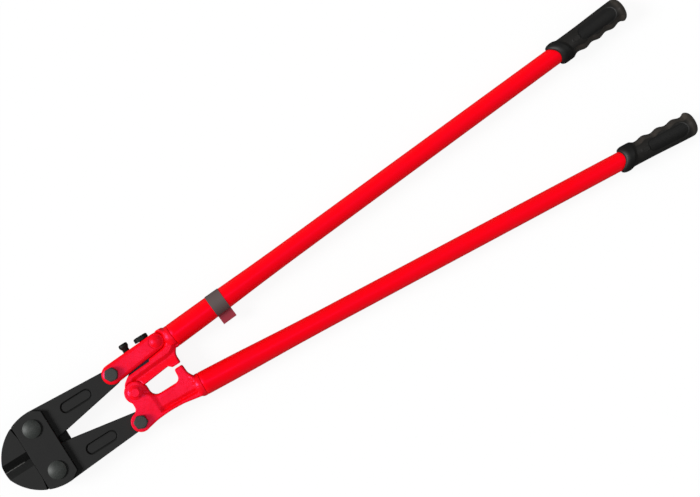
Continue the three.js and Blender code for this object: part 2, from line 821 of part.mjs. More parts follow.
const washerSeat = cheekOuter + clearance;
const headSeat = washerSeat + pivotWasherThickness + clearance;
const pivotLength = headSeat + restHeight;
const pivotBolt = hexBolt(pivotBoltRadius, pivotHexFlats, pivotHeadHeight, pivotLength);
const pivotNut = hexNut(pivotBoltRadius, pivotNutFlats, pivotNutHeight);
stand(piece("pivot_bolt", pivotBolt, finishes.redPaint()), origin, headSeat);
stand(piece("pivot_nut", pivotNut, finishes.redPaint()), origin, -headSeat, true);
stand(piece("pivot_top_washer", washer(), finishes.redPaint()), origin, washerSeat);
stand(piece("pivot_bottom_washer", washer(), finishes.redPaint()), origin, -washerSeat, true);

export default tool;
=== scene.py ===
"""Looks of a pair of long bolt cutters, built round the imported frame.

Every length is in metres in the frame's own axes: +X runs from the jaws to the
grips, +Y to the handle with the adjuster link, and +Z up from the bench.
"""

import logging
import math
from dataclasses import dataclass
from enum import Enum
from functools import cached_property, partial
from typing import Callable, Iterable, Sequence

import bmesh
import bpy
import numpy as np
from mathutils import Matrix, Vector


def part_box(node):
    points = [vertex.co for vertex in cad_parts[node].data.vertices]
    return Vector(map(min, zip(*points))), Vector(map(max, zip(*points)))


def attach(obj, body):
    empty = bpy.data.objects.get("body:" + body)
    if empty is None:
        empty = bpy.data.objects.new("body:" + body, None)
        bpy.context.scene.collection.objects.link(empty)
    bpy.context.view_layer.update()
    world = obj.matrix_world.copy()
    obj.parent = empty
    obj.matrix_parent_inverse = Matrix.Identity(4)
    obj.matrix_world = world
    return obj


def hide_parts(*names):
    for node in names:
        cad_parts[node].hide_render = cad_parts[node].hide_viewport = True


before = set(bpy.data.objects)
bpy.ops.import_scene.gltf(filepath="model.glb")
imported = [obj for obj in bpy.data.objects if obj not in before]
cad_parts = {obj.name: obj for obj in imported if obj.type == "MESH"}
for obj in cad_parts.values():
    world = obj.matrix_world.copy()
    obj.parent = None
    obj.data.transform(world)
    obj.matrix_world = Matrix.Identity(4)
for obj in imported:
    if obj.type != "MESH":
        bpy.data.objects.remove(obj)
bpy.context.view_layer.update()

LOG = logging.getLogger("bolt_cutters")
MM = 0.001
MERGE_FIT = 2e-6
POLE_FIT = 1e-7
FLAT_TURN = math.radians(0.8)
MID = sum(corner.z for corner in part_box("upper_jaw")) / 2

Array = np.ndarray
Colour = tuple[float, float, float]
Place = tuple[float, float, float]
Span = tuple[float, float]
Outline = tuple[Span, ...]


def in_mm(*pairs: Span) -> Outline:
    """Pairs of lengths given in millimetres, in metres."""
    return tuple((first * MM, second * MM) for first, second in pairs)


class Side(Enum):
    """The two halves of the tool, with the sign of their Y."""

    UPPER = 1
    LOWER = -1

    @property
    def word(self) -> str:
        """The side's name as the nodes' names begin with it."""
        return self.name.lower()

    @property
    def handle(self) -> str:
        """The body that this side's handle moves with."""
        return f"{self.word}_handle"


class Slot(Enum):
    """The material slots, by name."""

    BLACK = "black_steel"
    DARK = "dark_steel"
    RED = "red_paint"
    RUBBER = "rubber"
    LABEL = "label"


# ---------------------------------------------------------------- shader building


class Signal:
    """A number on its way through a material, which adds Math nodes as it is used."""

    def __init__(self, graph: "Graph", socket: bpy.types.NodeSocket) -> None:
        """Wraps an output socket of a graph."""
        self.graph = graph
        self.socket = socket

    def _math(self, operation: str, *values: "Signal | float") -> "Signal":
        """One Math node on these values."""
        inputs = dict(enumerate(values))
        return self.graph.node("ShaderNodeMath", {"operation": operation}, inputs)

    def __add__(self, other: "Signal | float") -> "Signal":
        """The sum."""
        return self._math("ADD", self, other)

    def __sub__(self, other: "Signal | float") -> "Signal":
        """The difference."""
        return self._math("SUBTRACT", self, other)

    def __mul__(self, other: "Signal | float") -> "Signal":
        """The product."""
        return self._math("MULTIPLY", self, other)

    def __rsub__(self, other: float) -> "Signal":
        """The difference from a plain number."""
        return self._math("SUBTRACT", other, self)

    __radd__ = __add__
    __rmul__ = __mul__

    def __abs__(self) -> "Signal":
        """The size without its sign."""
        return self._math("ABSOLUTE", self)

    def step(self, low: float, high: float) -> "Signal":
        """A smooth rise from 0 at low to 1 at high.

        Args:
            low: The value at which it leaves 0.
            high: The value at which it reaches 1. It may be under low for a fall.

        Returns:
            The signal between 0 and 1.
        """
        settings = {"interpolation_type": "SMOOTHSTEP", "clamp": True}
        flip = high < low
        limits = {1: min(low, high), 2: max(low, high), 3: 0.0, 4: 1.0}
        rise = self.graph.node("ShaderNodeMapRange", settings, {0: self, **limits})
        return 1.0 - rise if flip else rise


class Graph:
    """The nodes of one material or of the world."""

    def __init__(self, owner: bpy.types.Material | bpy.types.World) -> None:
        """Empties the owner's node tree.

        Args:
            owner: The material or the world that the nodes are for.
        """
        self.owner = owner
        owner.use_nodes = True
        self.tree = owner.node_tree
        self.tree.nodes.clear()

    @cached_property
    def place(self) -> Signal:
        """The Object coordinates."""
        return self.node("ShaderNodeTexCoord", output="Object")

    def node(
        self,
        kind: str,
        settings: dict | None = None,
        inputs: dict | None = None,
        output: int | str = 0,
    ) -> Signal | None:
        """Adds one node.

        Args:
            kind: The node's type.
            settings: Its own settings, which are set first.
            inputs: Values or signals by the name or number of their sockets.
            output: The name or number of the socket to go on from.

        Returns:
            The chosen output, or nothing where the node is an end.
        """
        made = self.tree.nodes.new(kind)
        for key, value in (settings or {}).items():
            setattr(made, key, value)
        for key, value in (inputs or {}).items():
            if isinstance(value, Signal):
                self.tree.links.new(value.socket, made.inputs[key])
            else:
                made.inputs[key].default_value = value
        return Signal(self, made.outputs[output]) if made.outputs else None

    def noise(self, scale: float, detail: float = 2.0, roughness: float = 0.5) -> Signal:
        """Noise on Object coordinates, about 0.5, at a number of waves per metre."""
        values = {"Vector": self.place, "Scale": scale, "Detail": detail, "Roughness": roughness}
        return self.node("ShaderNodeTexNoise", None, values, "Fac")

    def axis(self, letter: str) -> Signal:
        """One of the X, Y and Z Object coordinates in metres."""
        return self.node("ShaderNodeSeparateXYZ", None, {0: self.place}, letter)

    def mix(self, share: Signal, first: "Signal | Colour", second: "Signal | Colour") -> Signal:
        """A colour that goes from the first to the second with a share from 0 to 1."""
        colours = [c if isinstance(c, Signal) else (*c, 1.0) for c in (first, second)]
        inputs = {0: share, 6: colours[0], 7: colours[1]}
        return self.node("ShaderNodeMix", {"data_type": "RGBA"}, inputs, 2)

    def bump(self, height: Signal, distance: float, under: Signal | None = None) -> Signal:
        """A bumped normal.

        Args:
            height: The relief, from 0 to 1.
            distance: How far a height of 1 stands proud, in metres.
            under: A normal that this one is laid on.

        Returns:
            The normal.
        """
        inputs = {"Height": height, "Distance": distance, "Strength": 1.0}
        if under is not None:
            inputs["Normal"] = under
        return self.node("ShaderNodeBump", None, inputs)

    def ray(self, kind: str) -> Signal:
        """1 for rays of a kind, such as Camera, and 0 for others."""
        return self.node("ShaderNodeLightPath", output=f"Is {kind} Ray")

    def attribute(self, name: str) -> Signal:
        """A number that the piece's mesh carries."""
        return self.node("ShaderNodeAttribute", {"attribute_name": name}, None, "Fac")

    def surface(self, **sockets: "Signal | float | Colour") -> bpy.types.Material:
        """Ends the material with a Principled shader.

        Args:
            **sockets: Its sockets, with underscores for the spaces in their names.

        Returns:
            The finished material.
        """
        inputs = {}
        for key, value in sockets.items():
            inputs[key.replace("_", " ")] = (*value, 1.0) if isinstance(value, tuple) else value
        self.end(self.node("ShaderNodeBsdfPrincipled", None, inputs))
        return self.owner

    def end(self, shader: Signal) -> None:
        """Joins a shader to the output of the material or the world."""
        kind = "World" if isinstance(self.owner, bpy.types.World) else "Material"
        self.node(f"ShaderNodeOutput{kind}", None, {"Surface": shader})


# ---------------------------------------------------------------- finishes


@dataclass(frozen=True)
class RedEnamel:
    """Bright red gloss paint, thick over rough castings and thin on drawn tube."""

    name: str = "red_enamel"
    colour: Colour = (0.88, 0.0006, 0.003)
    deep_colour: Colour = (0.80, 0.0004, 0.0015)
    roughness: float = 0.29
    grain_depth: float = 0.00022
    grain_scale: float = 330.0
    ripple_depth: float = 0.0008
    ripple_scale: float = 130.0
    # painted shade: the dark steel colour laid into the link's slot and window, where shade falls
    slot_shade_colour: Colour = (0.035, 0.03, 0.034)
    gloss_tint: Colour = (1.0, 0.2, 0.74)

    def build(self) -> bpy.types.Material:
        """Builds it, with painted shade in a dark steel colour where the mesh marks deep gaps.

        Returns:
            The material.
        """
        g = Graph(bpy.data.materials.new(self.name))
        patch = g.noise(38.0, 3.0).step(0.3, 0.72)
        grain = g.noise(self.grain_scale, 3.0, 0.6)
        ripple = g.noise(self.ripple_scale, 2.0)
        # the mesh's mark for painted shade in deep gaps
        slot_shade = g.attribute("slot_shade")
        paint = g.mix(patch * 0.5 + grain.step(0.62, 0.3) * 0.35, self.colour, self.deep_colour)
        normal = g.bump(ripple, self.ripple_depth)
        return g.surface(
            Base_Color=g.mix(slot_shade, paint, self.slot_shade_colour),
            Roughness=self.roughness + patch * 0.08 + grain * 0.06 + slot_shade * 0.2,
            Normal=g.bump(grain, self.grain_depth, normal),
            IOR=1.5,
            Specular_Tint=self.gloss_tint,
        )


@dataclass(frozen=True)
class BlackSteel:
    """Forged steel with a matt black heat-treated skin, and a bright line where the jaws' edges meet:
    ground steel with a painted highlight.
    """

    name: str = "black_forging"
    colour: Colour = (0.0016, 0.0017, 0.0015)
    lighter_colour: Colour = (0.0045, 0.0046, 0.0042)
    # painted highlight with the ground steel's brightness, along the line where the jaws meet
    ground_glint_colour: Colour = (0.3, 0.3, 0.29)
    edge_wear: float = 0.0
    contact_half: float = 0.00045
    contact_end: float = -0.2005

    def build(self) -> bpy.types.Material:
        """Builds it: scale, handling marks, and the ground line where the edges meet, painted bright as a
        highlight.

        Returns:
            The material.
        """
        g = Graph(bpy.data.materials.new(self.name))
        scale = g.noise(900.0, 4.0, 0.65)
        cloud = g.noise(45.0, 3.0)
        speck = g.noise(1500.0, 1.0).step(0.70, 0.78)
        scuff = g.noise(260.0, 5.0, 0.75).step(0.60, 0.78)
        wear = scuff * self.edge_wear
        # painted highlight along the jaws' meeting line, from the tip back to contact_end
        near = abs(g.axis("Y")).step(self.contact_half * 1.6, self.contact_half)
        ground_glint = near * g.axis("X").step(self.contact_end + 0.001, self.contact_end)
        skin = g.mix(cloud.step(0.3, 0.7) * 0.6 + speck * 0.4, self.colour, self.lighter_colour)
        wear_and_glint = wear + ground_glint - wear * ground_glint
        return g.surface(
            Base_Color=g.mix(wear_and_glint, skin, self.ground_glint_colour),
            Metallic=wear_and_glint * 0.8,
            Roughness=0.68 + cloud * 0.08 - wear_and_glint * 0.2,
            Normal=g.bump(scale, 0.00009),
            IOR=1.5,
            Specular_IOR_Level=0.66,
        )


@dataclass(frozen=True)
class GreySteel:
    """Bolts, nuts, screws and rivets with a dark grey-green phosphate skin."""

    name: str = "phosphate_steel"
    colour: Colour = (0.026, 0.030, 0.027)
    light_colour: Colour = (0.072, 0.079, 0.074)
    roughness: float = 0.46
    gloss: float = 0.6

    def build(self) -> bpy.types.Material:
        """Builds it, mottled as a chemical finish is.

        Returns:
            The material.
        """
        g = Graph(bpy.data.materials.new(self.name))
        mottle = g.noise(700.0, 4.0, 0.6)
        cloud = g.noise(120.0, 2.0)
        shade = mottle.step(0.42, 0.75) * 0.55 + cloud * 0.2
        return g.surface(
            Base_Color=g.mix(shade, self.colour, self.light_colour),
            Metallic=0.25,
            Roughness=self.roughness + mottle * 0.12,
            Normal=g.bump(mottle, 0.00006),
            IOR=1.5,
            Specular_IOR_Level=self.gloss,
        )


@dataclass(frozen=True)
class GripRubber:
    """Moulded black rubber, a little shiny where the fingers lie, and painted lighter there and at the
    end: wear with a painted sheen.
    """

    name: str = "grip_rubber"
    colour: Colour = (0.007, 0.007, 0.0066)
    # wear with a painted sheen: the grey-brown of the finger lobes and the end
    lighter_colour: Colour = (0.052, 0.045, 0.038)

    def build(self) -> bpy.types.Material:
        """Builds it. The mesh says where it is lighter: partly wear, partly a painted sheen.

        Returns:
            The material.
        """
        g = Graph(bpy.data.materials.new(self.name))
        grain = g.noise(2200.0, 2.0)
        cloud = g.noise(150.0, 3.0)
        # the mesh's mark for wear with a painted sheen
        worn = g.attribute("worn")
        shade = worn * (0.45 + cloud * 0.7) + cloud.step(0.55, 0.9) * 0.1
        return g.surface(
            Base_Color=g.mix(shade, self.colour, self.lighter_colour),
            Roughness=0.5 - worn * 0.2 + cloud * 0.08,
            Normal=g.bump(grain, 0.00003),
            IOR=1.5,
            Specular_IOR_Level=0.45,
        )


@dataclass(frozen=True)
class LabelFilm:
    """A coated paper label: a plain brownish band, a dark red flag and a fine grain."""

    name: str = "label_film"
    band_colour: Colour = (0.1, 0.07, 0.068)
    flag_colour: Colour = (0.28, 0.01, 0.028)
    rubbed_colour: Colour = (0.07, 0.055, 0.052)

    def build(self) -> bpy.types.Material:
        """Builds it. The mesh's flag attribute says where the flag begins.

        Returns:
            The material.
        """
        g = Graph(bpy.data.materials.new(self.name))
        cloud = g.noise(90.0, 3.0)
        fibre = g.noise(1800.0, 2.0)
        flag = g.attribute("flag")
        plain = g.mix(flag, self.band_colour, self.flag_colour)
        return g.surface(
            Base_Color=g.mix(cloud.step(0.4, 0.9) * 0.15, plain, self.rubbed_colour),
            Roughness=0.48 + cloud * 0.15,
            Normal=g.bump(fibre, 0.00003),
            IOR=1.45,
        )


Finish = RedEnamel | BlackSteel | GreySteel | GripRubber | LabelFilm


class Finishes:
    """Every finish, built once when it is first asked for."""

    def __init__(self) -> None:
        """Starts with nothing built."""
        self._built: dict[Finish, bpy.types.Material] = {}

    def get(self, finish: Finish) -> bpy.types.Material:
        """The material of a finish."""
        if finish not in self._built:
            self._built[finish] = finish.build()
        return self._built[finish]


FINISHES = Finishes()
CAST_RED = RedEnamel(name="red_enamel_on_casting")
TUBE_RED = RedEnamel(
    name="red_enamel_on_tube",
    colour=(0.9, 0.0004, 0.0008),
    deep_colour=(0.84, 0.0003, 0.0006),
    gloss_tint=(1.0, 0.05, 0.42),
    roughness=0.3,
    grain_depth=0.00002,
    grain_scale=700.0,
    ripple_depth=0.00012,
    ripple_scale=70.0,
)
FORGED = BlackSteel()
FORGED_EDGE = BlackSteel(name="black_forging_edge", edge_wear=0.9)
PHOSPHATE = GreySteel()
BLACKED = GreySteel(
    name="oil_blacked_steel",
    colour=(0.008, 0.008, 0.0075),
    light_colour=(0.026, 0.026, 0.024),
    gloss=0.25,
)
RUBBER = GripRubber()
LABEL_FILM = LabelFilm()


# ---------------------------------------------------------------- mesh helpers


def smooth_rise(value: Array, low: float, high: float) -> Array:
    """A smooth rise from 0 at low to 1 at high, for numbers or arrays."""
    share = np.clip((value - low) / (high - low), 0.0, 1.0)
    return share * share * (3.0 - 2.0 * share)


def slope(value: Array, low: float, high: float) -> Array:
    """A nearly straight rise from 0 at low to 1 at high, eased a little at its ends."""
    share = np.clip((value - low) / (high - low), 0.0, 1.0)
    return 0.7 * share + 0.3 * smooth_rise(value, low, high)


def segment_distance(points: Array, start: Sequence[float], end: Sequence[float]) -> Array:
    """Measures how far points in plan lie from a straight run.

    Args:
        points: Rows of X and Y.
        start: Where the run begins.
        end: Where it ends.

    Returns:
        Each point's distance.
    """
    a, b = np.array(start), np.array(end)
    run = b - a
    share = np.clip(((points - a) @ run) / (run @ run), 0.0, 1.0)
    return np.linalg.norm(points - a - share[:, None] * run, axis=1)


def path_offset(points: Array, path: Outline) -> Array:
    """Measures how far points in plan lie to one side of a path.

    Args:
        points: Rows of X and Y.
        path: The corners of its straight runs.

    Returns:
        Each point's distance, negative to the right of the path.
    """
    runs = list(zip(path, path[1:]))
    distances = np.array([segment_distance(points, a, b) for a, b in runs])
    turns = np.array([
        (b[0] - a[0]) * (points[:, 1] - a[1]) - (b[1] - a[1]) * (points[:, 0] - a[0]) for a, b in runs
    ])
    nearest = distances.argmin(axis=0)
    each = np.arange(len(points))
    return np.where(turns[nearest, each] > 0, 1.0, -1.0) * distances[nearest, each]


def lathe(profile: Iterable[Span], steps: int = 96) -> bmesh.types.BMesh:
    """Turns a profile about the X axis.

    Args:
        profile: Places along the axis and radii, in metres, up the outside first.
        steps: How many sides the round has.

    Returns:
        A closed shell.
    """
    bm = bmesh.new()
    verts = [bm.verts.new((along, 0.0, radius)) for along, radius in profile]
    edges = [bm.edges.new(pair) for pair in zip(verts, verts[1:])]
    bmesh.ops.spin(
        bm,
        geom=verts + edges,
        cent=(0, 0, 0),
        axis=(1, 0, 0),
        dvec=(0, 0, 0),
        angle=2 * math.pi,
        steps=steps,
        use_merge=True,
        use_duplicate=False,
    )
    bmesh.ops.remove_doubles(bm, verts=bm.verts, dist=POLE_FIT)
    bmesh.ops.recalc_face_normals(bm, faces=bm.faces)
    return bm


def placed(name: str, data: bpy.types.ID) -> bpy.types.Object:
    """A new object of this mesh, lamp or camera in the scene."""
    made = bpy.data.objects.new(name, data)
    bpy.context.scene.collection.objects.link(made)
    return made


def as_mesh(bm: bmesh.types.BMesh, name: str) -> bpy.types.Mesh:
    """Turns a bmesh, which is freed, into a mesh.

    Args:
        bm: The bmesh.
        name: The mesh's name.

    Returns:
        The mesh.
    """
    mesh = bpy.data.meshes.new(name)
    bm.to_mesh(mesh)
    bm.free()
    return mesh


def merged_copy(node: str) -> bmesh.types.BMesh:
    """Copies a node's mesh with its loose triangles joined up.

    Args:
        node: The node's name.

    Returns:
        The copy.
    """
    bm = bmesh.new()
    bm.from_mesh(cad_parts[node].data)
    bmesh.ops.remove_doubles(bm, verts=bm.verts, dist=MERGE_FIT)
    return bm


def bevelled_copy(
    node: str,
    width: float,
    segments: int = 2,
    least: float = 25.0,
    shape: Callable[[bmesh.types.BMesh], None] | None = None,
) -> bmesh.types.BMesh:
    """A copy of a node with its flat faces cleaned and its sharp edges rounded.

    Args:
        node: The node's name.
        width: Of the bevel, in metres.
        segments: How many strips the bevel has.
        least: The turn in degrees from which an edge counts as sharp.
        shape: What changes the copy before its edges are rounded.

    Returns:
        The rounded shell. The bevel's faces have the material index 1.
    """
    bm = merged_copy(node)
    if shape:
        shape(bm)
    bmesh.ops.dissolve_limit(
        bm, angle_limit=FLAT_TURN, verts=bm.verts, edges=bm.edges, use_dissolve_boundaries=False
    )
    sharp = [e for e in bm.edges if e.is_manifold and e.calc_face_angle() > math.radians(least)]
    made = bmesh.ops.bevel(
        bm,
        geom=sharp,
        offset=width,
        offset_type="OFFSET",
        affect="EDGES",
        segments=segments,
        profile=0.5,
        material=-1,
        clamp_overlap=True,
    )
    for face in made["faces"]:
        face.material_index = 1
    return bm


def publish(
    shape: bmesh.types.BMesh | bpy.types.Mesh,
    name: str,
    node: str,
    body: str,
    finishes: Sequence[Finish],
    smooth_angle: float = 35.0,
    flat_faces: bool = False,
) -> None:
    """Makes a finished piece.

    Args:
        shape: Its mesh, or a bmesh, already in place. A bmesh is freed.
        name: The piece's name.
        node: The node that it stands for.
        body: The CAD body that it moves with.
        finishes: One finish for each material index.
        smooth_angle: The turn in degrees under which an edge is shaded smooth.
        flat_faces: Whether large faces are shaded flat between their rounded edges.
    """
    mesh = as_mesh(shape, name) if isinstance(shape, bmesh.types.BMesh) else shape
    mesh.shade_smooth()
    mesh.set_sharp_from_angle(angle=math.radians(smooth_angle))
    for finish in finishes:
        mesh.materials.append(FINISHES.get(finish))
    made = placed(name, mesh)
    if flat_faces:
        shading = made.modifiers.new("flat_faces", "WEIGHTED_NORMAL")
        shading.keep_sharp = True
    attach(made, body)
    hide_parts(node)
    LOG.info("%s: %d faces on %s", name, len(mesh.polygons), body)


def mesh_points(mesh: bpy.types.Mesh) -> Array:
    """The mesh's vertices as rows of X, Y and Z."""
    flat = np.zeros(len(mesh.vertices) * 3)
    mesh.vertices.foreach_get("co", flat)
    return flat.reshape(-1, 3)


def move_points(mesh: bpy.types.Mesh, points: Array) -> None:
    """Puts the mesh's vertices at new places."""
    mesh.vertices.foreach_set("co", points.ravel())
    mesh.update()


def carry(mesh: bpy.types.Mesh, name: str, values: Array) -> None:
    """Gives the mesh a number for each vertex, which a material can read."""
    layer = mesh.attributes.new(name, "FLOAT", "POINT")
    layer.data.foreach_set("value", values.astype(np.float32))


def add_prism(bm: bmesh.types.BMesh, outline: Outline, low: float, high: float) -> None:
    """Adds an outline in plan, raised from one height to another.

    Args:
        bm: What the prism joins.
        outline: Its corners, anticlockwise seen from above.
        low: The height of its foot.
        high: The height of its top.
    """
    foot = bm.faces.new([bm.verts.new((x, y, low)) for x, y in outline])
    raised = bmesh.ops.extrude_face_region(bm, geom=[foot], use_keep_orig=True)
    top = [part for part in raised["geom"] if isinstance(part, bmesh.types.BMVert)]
    bmesh.ops.translate(bm, verts=top, vec=(0, 0, high - low))
    foot.normal_flip()


def softened_copy(
    node: str,
    voxel: float,
    passes: int,
    shape: Callable[[bmesh.types.BMesh], None] | None = None,
) -> bpy.types.Mesh:
    """A copy of a node as an even skin with cast, rounded edges.

    Args:
        node: The node's name.
        voxel: The skin's mesh size, in metres.
        passes: How many times it is smoothed.
        shape: What adds closed blocks to the copy before it gets its skin.

    Returns:
        The new mesh.
    """
    bm = merged_copy(node)
    if shape:
        shape(bm)
    mesh = as_mesh(bm, f"{node}_block")
    block = placed(f"{node}_block", mesh)
    remesh = block.modifiers.new("skin", "REMESH")
    remesh.mode = "VOXEL"
    remesh.voxel_size = voxel
    smooth = block.modifiers.new("soften", "SMOOTH")
    smooth.factor = 0.5
    smooth.iterations = passes
    depsgraph = bpy.context.evaluated_depsgraph_get()
    skin = bpy.data.meshes.new_from_object(block.evaluated_get(depsgraph))
    bpy.data.objects.remove(block)
    bpy.data.meshes.remove(mesh)
    return skin


# ---------------------------------------------------------------- jaws


@dataclass
class JawSet:
    """The two jaws between their side plates, and the domed rivets that they turn on."""

    jaw_bevel: float = 0.7 * MM
    plate_bevel: float = 0.5 * MM
    rivet_radius: float = 9 * MM
    dome_radius: float = 14.2 * MM
    dome_height: float = 6 * MM
    dome_rim: float = 2.0 * MM
    dome_undercut: float = 0.3 * MM
    rivet_steps: int = 72
    dome_rings: int = 10
    recess_place: Span = (-84 * MM, 37.5 * MM)
    recess_half_run: float = 18.2 * MM
    recess_floor: float = 6.1 * MM
    recess_sink: float = 1.9 * MM
    recess_draft: float = 1.6 * MM
    recess_groove: float = 1.5 * MM
    recess_rise: float = 1.1 * MM
    contact_reach: float = 0.3 * MM
    level_fit: float = 0.05 * MM

    def build(self) -> None:
        """Makes the jaws, the plates and the rivets."""
        for side in Side:
            node = f"{side.word}_jaw"
            bm = bevelled_copy(node, self.jaw_bevel, least=20.0, shape=partial(self._shape_jaw, side=side))
            publish(bm, f"{node}_forging", node, node, [FORGED, FORGED], flat_faces=True)
            self._rivet(side)
        for node in ("top_side_plate", "bottom_side_plate"):
            bm = bevelled_copy(node, self.plate_bevel)
            finishes = [FORGED, FORGED_EDGE]
            publish(bm, f"{node}_steel", node, "side_plates", finishes, flat_faces=True)

    def _shape_jaw(self, bm: bmesh.types.BMesh, side: Side) -> None:
        """Gives the recess a groove round its raised floor and closes the jaws on each other.

        Args:
            bm: The jaw's shell, which is changed.
            side: The jaw's side.
        """
        middle = Vector((self.recess_place[0], side.value * self.recess_place[1]))
        floor = self.recess_floor - self.recess_sink
        for vert in bm.verts:
            x, y, z = vert.co
            height = z - MID
            if abs(abs(height) - self.recess_floor) < self.level_fit:
                run = max(-self.recess_half_run, min(self.recess_half_run, x - middle.x))
                spine = Vector((middle.x + run, middle.y))
                out = Vector((x, y)) - spine
                place = spine + out * (1 - self.recess_draft / max(out.length, 1 * MM))
                vert.co = (place.x, place.y, MID + math.copysign(floor, height))
            elif abs(y) < self.contact_reach:
                vert.co.y = 0.0
        on_floor = {v for v in bm.verts if abs(abs(v.co.z - MID) - floor) < self.level_fit}
        floors = [f for f in bm.faces if on_floor.issuperset(f.verts)]
        bmesh.ops.inset_region(
            bm, faces=floors, thickness=self.recess_groove, depth=self.recess_rise, use_even_offset=True
        )

    def _dome(self, base: float) -> list[Span]:
        """Draws a dome's profile from its rim up to its pole.

        Args:
            base: The height of its foot along the rivet.

        Returns:
            Places along the rivet and radii.
        """
        rise = self.dome_height - self.dome_rim
        ball = (self.dome_radius**2 + rise**2) / (2 * rise)
        sweep = math.asin(self.dome_radius / ball)
        foot = (base, self.dome_radius - self.dome_undercut)
        points = [foot, (base + self.dome_rim / 2, self.dome_radius)]
        for ring in range(self.dome_rings + 1):
            angle = sweep * (1 - ring / self.dome_rings)
            height = self.dome_height - ball * (1 - math.cos(angle))
            points.append((base + height, ball * math.sin(angle)))
        return points

    def _rivet(self, side: Side) -> None:
        """Makes one rivet with a smooth dome at each end.

        Args:
            side: The side of the jaw that turns on it.
        """
        node = f"{side.word}_jaw_rivet"
        low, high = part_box(node)
        grip = (high.z - low.z) / 2 - self.dome_height
        upper = self._dome(grip)
        lower = [(-along, radius) for along, radius in reversed(upper)]
        shank = [(-grip, self.rivet_radius), (grip, self.rivet_radius)]
        bm = lathe([*lower, *shank, *upper], self.rivet_steps)
        centre = (low + high) / 2
        place = Matrix.Translation(centre) @ Matrix.Rotation(-math.pi / 2, 4, "Y")
        bmesh.ops.transform(bm, matrix=place, verts=bm.verts)
        publish(bm, f"{node}_dome", node, "side_plates", [PHOSPHATE])


# ---------------------------------------------------------------- castings


